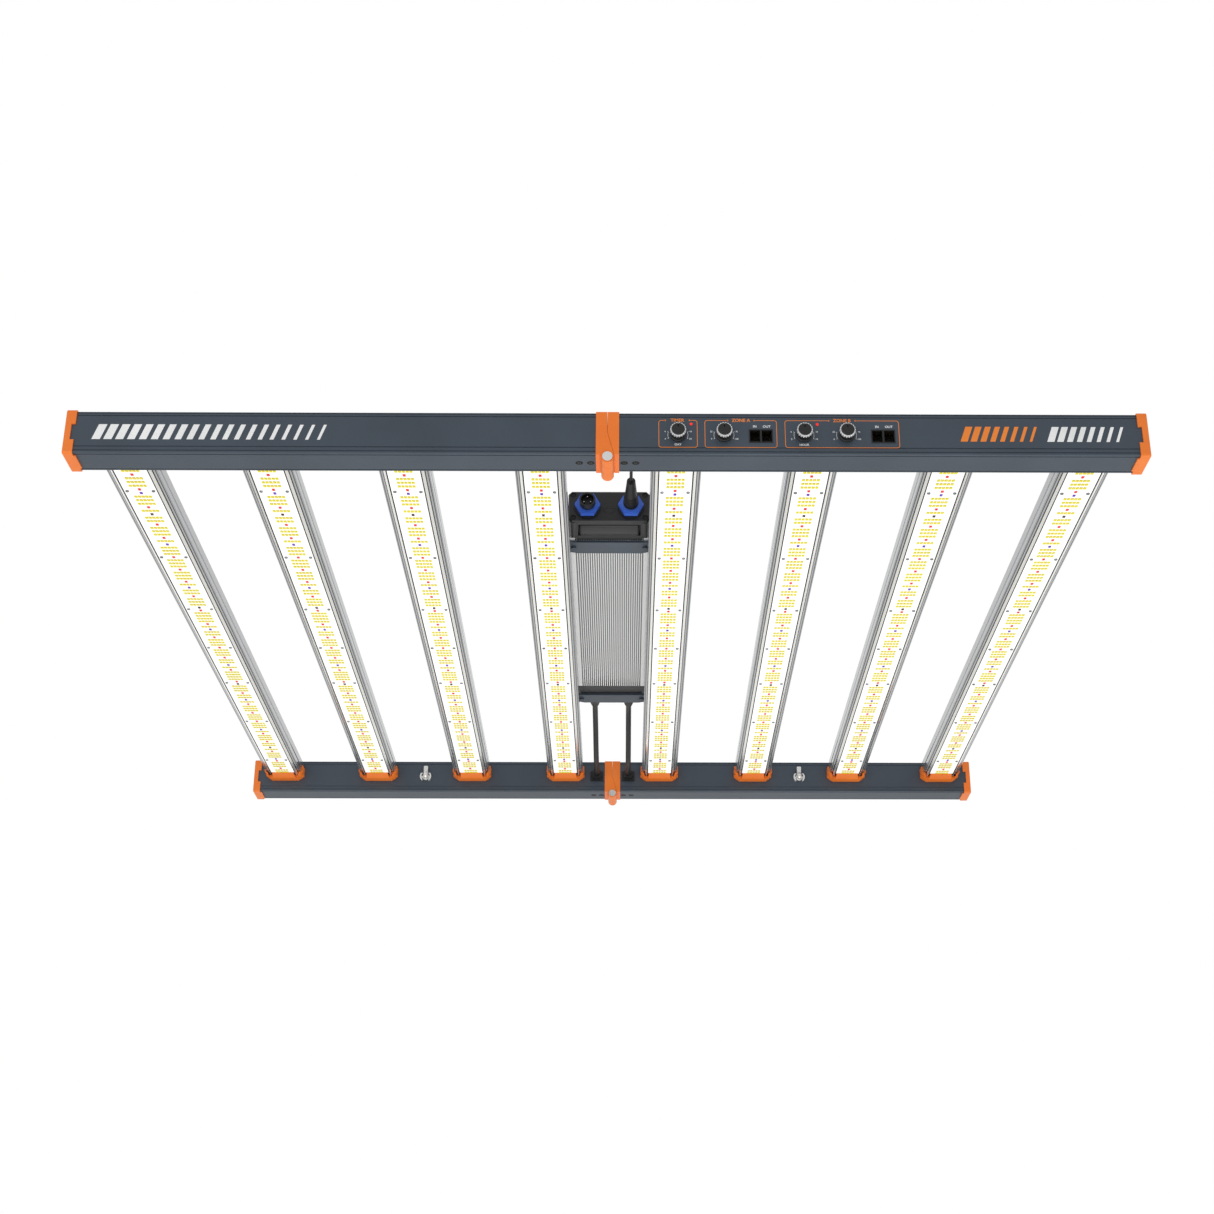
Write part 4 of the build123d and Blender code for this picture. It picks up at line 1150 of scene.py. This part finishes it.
@dataclass
class DriverDetails:
    """Mouldings on the driver's caps: cover, seats, rings, half-moon mark and cable boots."""

    cover_half: float = 34.5
    boss_x: float = 41.0
    screw_x: float = 41.0
    screw_inset: float = 5.2
    seat_r: float = 15.6
    screw_r: float = 3.2
    nut_r: float = 14.6
    mark_r: float = 7.0
    mark_drop: float = 1.5
    mark_line: float = 0.35
    boot_x: float = 24.0
    boot_length: float = 40.0

    def front(self) -> None:
        """Adds the front cap's mouldings."""
        cap_low, cap_high = low_mm("driver_front_cap"), high_mm("driver_front_cap")
        shape = Shape()
        y0, y1, z0 = cap_low.y, cap_high.y, cap_low.z
        cover = ((-self.cover_half, y0 + 9.5, z0 - 1.4), (self.cover_half, y1 - 7.5, z0 + 4.2))
        shape.box(*cover, Finish.BLACK, bevel=2.6, segments=4)
        for i in range(24):
            x = (i - 11.5) * 2.7
            shape.box((x - 0.7, y1 - 12.0, z0 - 1.9), (x + 0.7, y1 - 9.8, z0 - 1.2), Finish.BLACK, bevel=0.25)
        for x in (-self.boss_x, self.boss_x):
            shape.rod((x, y0 + 2.0, z0 + 3.4), (x, y1 - 2.0, z0 + 3.4), 4.3, Finish.BLACK)
            shape.rod((x, y0 + 1.2, z0 + 3.4), (x, y0 + 2.1, z0 + 3.4), 2.4, Finish.BLACK_STEEL)
            for z in (z0 + self.screw_inset, cap_high.z - self.screw_inset):
                screw_x = math.copysign(self.screw_x, x)
                shape.rod((screw_x, y0 + 1.0, z), (screw_x, y0 + 3.9, z), self.screw_r, Finish.BLACK_STEEL)
        shape.box((-38.5, y1 - 1.0, z0 - 0.15), (38.5, y1 + 5.4, z0 + 6.0), Finish.BLACK, bevel=0.4)
        nut_z = middle_mm("connector_nuts").z
        nut_x = (high_mm("connector_nuts").x - self.nut_r, low_mm("connector_nuts").x + self.nut_r)
        for x in nut_x:
            shape.rod((x, y0 - 0.7, nut_z), (x, y0 + 0.4, nut_z), self.seat_r, Finish.BLACK)
        ring = [(self.mark_r * math.cos(a), self.mark_r * math.sin(a))
                for a in (math.pi + math.pi * i / 12 for i in range(13))]
        y, z = y0 - 0.1, nut_z - self.mark_drop
        for (ax, az), (bx, bz) in zip(ring, ring[1:]):
            shape.rod((ax, y, z + az), (bx, y, z + bz), self.mark_line, Finish.BLACK, sides=8)
        shape.rod((-self.mark_r, y, z), (self.mark_r, y, z), self.mark_line, Finish.BLACK, sides=8)
        shape.save("front_cap_mouldings", "right_half", "black_plastic")

    def plug_rings(self) -> None:
        """Adds the grip rings round the control plug."""
        face = low_mm("driver_front_cap").y
        middle = middle_mm("control_plug")
        shape = Shape()
        for i in range(4):
            y = face - 16.0 - i * 4.0
            ring = [(6.8, y), (8.1, y + 0.4), (8.1, y + 2.0), (6.8, y + 2.4)]
            shape.turned(ring + ring[:1], (middle.x, 0.0, middle.z), Finish.RUBBER, steps=32)
        shape.save("plug_rings", "right_half", "black_rubber")

    def boots(self) -> None:
        """Adds the tapered, ringed boots where the output cables leave the driver."""
        low, high = low_mm("output_glands"), high_mm("output_glands")
        start = high_mm("driver_rear_cap").y
        z = (low.z + high.z) / 2
        for x, name in ((self.boot_x, "right"), (-self.boot_x, "left")):
            shape = Shape()
            profile = [(0.0, start - 0.5), (9.6, start - 0.5), (9.6, start + 13.0), (9.0, start + 14.0)]
            for i in range(4):
                y = start + 15.0 + i * 6.0
                r = 8.6 - i * 0.95
                profile += [(r, y), (r, y + 3.4), (r - 1.0, y + 4.0), (r - 1.0, y + 5.4)]
            profile += [(4.6, start + self.boot_length), (0.0, start + self.boot_length)]
            shape.turned(profile, (x, 0.0, z), Finish.RUBBER, steps=36)
            shape.save(f"cable_boot_{name}", "right_half", "black_rubber")

    def build(self) -> None:
        """Adds all of them."""
        self.front()
        self.plug_rings()
        self.boots()


@dataclass
class FoldingCable:
    """The left output cable, drawn with a fixed S-bend where it crosses the fold."""

    sides: int = 24
    steps: int = 90

    def build(self) -> None:
        """Adds the cable as a tube, in place of its CAD node."""
        low, high = low_mm("output_cable_left"), high_mm("output_cable_left")
        radius = (high.x - low.x) / 2
        x = (low.x + high.x) / 2
        top, bottom = high.z - radius, low.z + radius
        route = [(x, low.y, top), (x, low.y + 80, top), (x, high.y - 62, bottom), (x, high.y, bottom)]
        curve = bpy.data.curves.new("cable_route", "CURVE")
        curve.dimensions = "3D"
        curve.resolution_u = self.steps // 3
        spline = curve.splines.new("NURBS")
        spline.points.add(len(route) - 1)
        for point, place in zip(spline.points, route):
            point.co = (*place, 1.0)
        spline.order_u = 3
        spline.use_endpoint_u = True
        holder = bpy.data.objects.new("cable_route", curve)
        line = bpy.data.meshes.new_from_object(holder)
        points = [vert.co.copy() for vert in line.vertices]
        bpy.data.objects.remove(holder)
        bpy.data.curves.remove(curve)
        bpy.data.meshes.remove(line)
        shape = Shape()
        rings = []
        for i, point in enumerate(points):
            along = (points[min(i + 1, len(points) - 1)] - points[max(i - 1, 0)]).normalized()
            side = Vector((1.0, 0.0, 0.0))
            up = along.cross(side).normalized()
            rings.append([shape.bm.verts.new(point + radius * (math.cos(a) * side + math.sin(a) * up))
                          for a in (math.tau * j / self.sides for j in range(self.sides))])
        for lower, upper in zip(rings, rings[1:]):
            for i in range(self.sides):
                j = (i + 1) % self.sides
                shape.bm.faces.new((lower[i], lower[j], upper[j], upper[i]))
        shape.bm.faces.new(rings[0])
        shape.bm.faces.new(rings[-1])
        shape.paint([vert for ring in rings for vert in ring], Finish.RUBBER)
        piece = shape.save("output_cable_left_flexing", None, "black_rubber")
        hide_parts("output_cable_left")
        gland_end = high_mm("output_glands").y
        mm(x, high.y - 12, bottom)
        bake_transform(piece)


# ---- CAD nodes' finishes ------------------------------------------------------------

@dataclass(frozen=True)
class NodeFinish:
    """Which finish a family of CAD nodes takes."""

    prefixes: tuple[str, ...]
    finish: Finish


NODE_FINISHES = (
    NodeFinish(("front_rail", "rear_rail"), Finish.RAIL),
    NodeFinish(("driver_straps",), Finish.RAIL),
    NodeFinish(("end_caps", "front_hinge_leaf", "rear_hinge_leaf", "bar_clips"), Finish.ORANGE),
    NodeFinish(("bar_screws", "hinge_pins", "hanger_studs"), Finish.STEEL),
    NodeFinish(("board_screws",), Finish.ZINC),
    NodeFinish(("front_hanger_clip", "rear_hanger_clip"), Finish.STEEL),
    NodeFinish(("hinge_screws",), Finish.BLACK_STEEL),
    NodeFinish(("driver_screws",), Finish.RAIL),
    NodeFinish(("bar_",), Finish.BAR),
    NodeFinish(("driver_housing",), Finish.HOUSING),
    NodeFinish(("led_boards",), Finish.BOARD),
    NodeFinish(("driver_front_cap", "driver_rear_cap"), Finish.BLACK),
    NodeFinish(("mains_inlet", "control_plug", "data_jacks", "output_socket"), Finish.KNOB_BLACK),
    NodeFinish(("connector_nuts",), Finish.BLUE),
    NodeFinish(("output_glands", "control_cable", "output_cable", "rail_harness"), Finish.RUBBER),
    NodeFinish(("indicators",), Finish.SIGNAL_LENS),
    NodeFinish(("control_board", "driver_board"), Finish.GREEN_BOARD),
    NodeFinish(("potentiometers",), Finish.STEEL),
)


def dress_cad_nodes() -> None:
    """Gives each CAD node that a row matches its finish, in its own material slots."""
    for name, node in frame["nodes"].items():
        row = next((row for row in NODE_FINISHES if name.startswith(row.prefixes)), None)
        if row is None:
            continue
        material = row.finish.material()
        for slot in node.material_slots:
            slot.material = material
        if not node.material_slots:
            node.data.materials.append(material)


# ---- light, floor and camera --------------------------------------------------------

@dataclass
class Studio:
    """A pale room with soft light from all round, and the camera below and in front."""

    floor_z: float = -3.4
    floor_size: float = 14.0
    camera_place: Point = (0.01736, -2.24203, -0.90411)
    pitch: float = 23.67
    yaw: float = 0.349
    lens: float = 56.18
    shift: Flat = (-0.02285, 0.00428)
    dim: float = 0.65

    def area(self, name: str, place: Point, size: float, power: float) -> None:
        """A soft square light aimed at the object.

        Args:
            name: its name.
            place: where it stands, in metres.
            size: its side, in metres.
            power: its power, in watts.
        """
        light = bpy.data.lights.new(name, "AREA")
        light.size = size
        light.energy = power
        lamp = bpy.data.objects.new(name, light)
        lamp.location = place
        lamp.rotation_euler = (-Vector(place)).to_track_quat("-Z", "Y").to_euler()
        bpy.context.scene.collection.objects.link(lamp)

    def build(self) -> None:
        """Adds the floor, the lights and the camera."""
        scene = bpy.context.scene
        scene.view_settings.view_transform = "Standard"
        world = bpy.data.worlds.new("pale_room")
        world.use_nodes = True
        tree = world.node_tree
        background = tree.nodes["Background"]
        background.inputs["Color"].default_value = (1.0, 1.0, 1.0, 1.0)
        where = tree.nodes.new("ShaderNodeTexCoord")
        axes = tree.nodes.new("ShaderNodeSeparateXYZ")
        fade = tree.nodes.new("ShaderNodeMapRange")
        for key, value in (("From Min", -0.5), ("From Max", 0.35), ("To Min", self.dim), ("To Max", 1.0)):
            fade.inputs[key].default_value = value
        tree.links.new(where.outputs["Generated"], axes.inputs["Vector"])
        tree.links.new(axes.outputs["Y"], fade.inputs["Value"])
        tree.links.new(fade.outputs["Result"], background.inputs["Strength"])
        scene.world = world
        bm = bmesh.new()
        bmesh.ops.create_grid(bm, x_segments=1, y_segments=1, size=self.floor_size,
                              matrix=Matrix.Translation((0, 0, self.floor_z)))
        mesh = bpy.data.meshes.new("floor")
        bm.to_mesh(mesh)
        bm.free()
        graph = Graph("pale_floor")
        graph.shade({"Base Color": srgb("#EDEDEB"), "Roughness": 0.8})
        mesh.materials.append(graph.material)
        floor = bpy.data.objects.new("floor", mesh)
        scene.collection.objects.link(floor)
        self.area("light_from_below", (0.3, -0.7, -1.75), 1.6, 13.0)
        self.area("front_light", (-1.2, -2.8, -0.4), 1.2, 10.0)
        camera = bpy.data.cameras.new("camera")
        camera.lens = self.lens
        camera.shift_x, camera.shift_y = self.shift
        camera.clip_end = 50.0
        holder = bpy.data.objects.new("camera", camera)
        holder.location = self.camera_place
        holder.rotation_euler = (math.radians(90 + self.pitch), 0.0, math.radians(-self.yaw))
        scene.collection.objects.link(holder)
        scene.camera = holder


def main() -> None:
    """Builds the light's looks in order, and logs each step."""
    logging.basicConfig(level=logging.INFO, format="%(message)s")
    steps: tuple[tuple[str, Callable[[], None]], ...] = (
        ("finishes", dress_cad_nodes),
        ("leds", LedBoards().build),
        ("panel print", PanelPrint().build),
        ("knobs", Knobs().build),
        ("contacts", Contacts().build),
        ("hinge screw heads", HingeScrewHeads().build),
        ("bar clips", BarClips().build),
        ("driver details", DriverDetails().build),
        ("folding cable", FoldingCable().build),
        ("studio", Studio().build),
    )
    for name, step in steps:
        step()
        LOG.info("built %s", name)


if __name__ == "__main__":
    main()
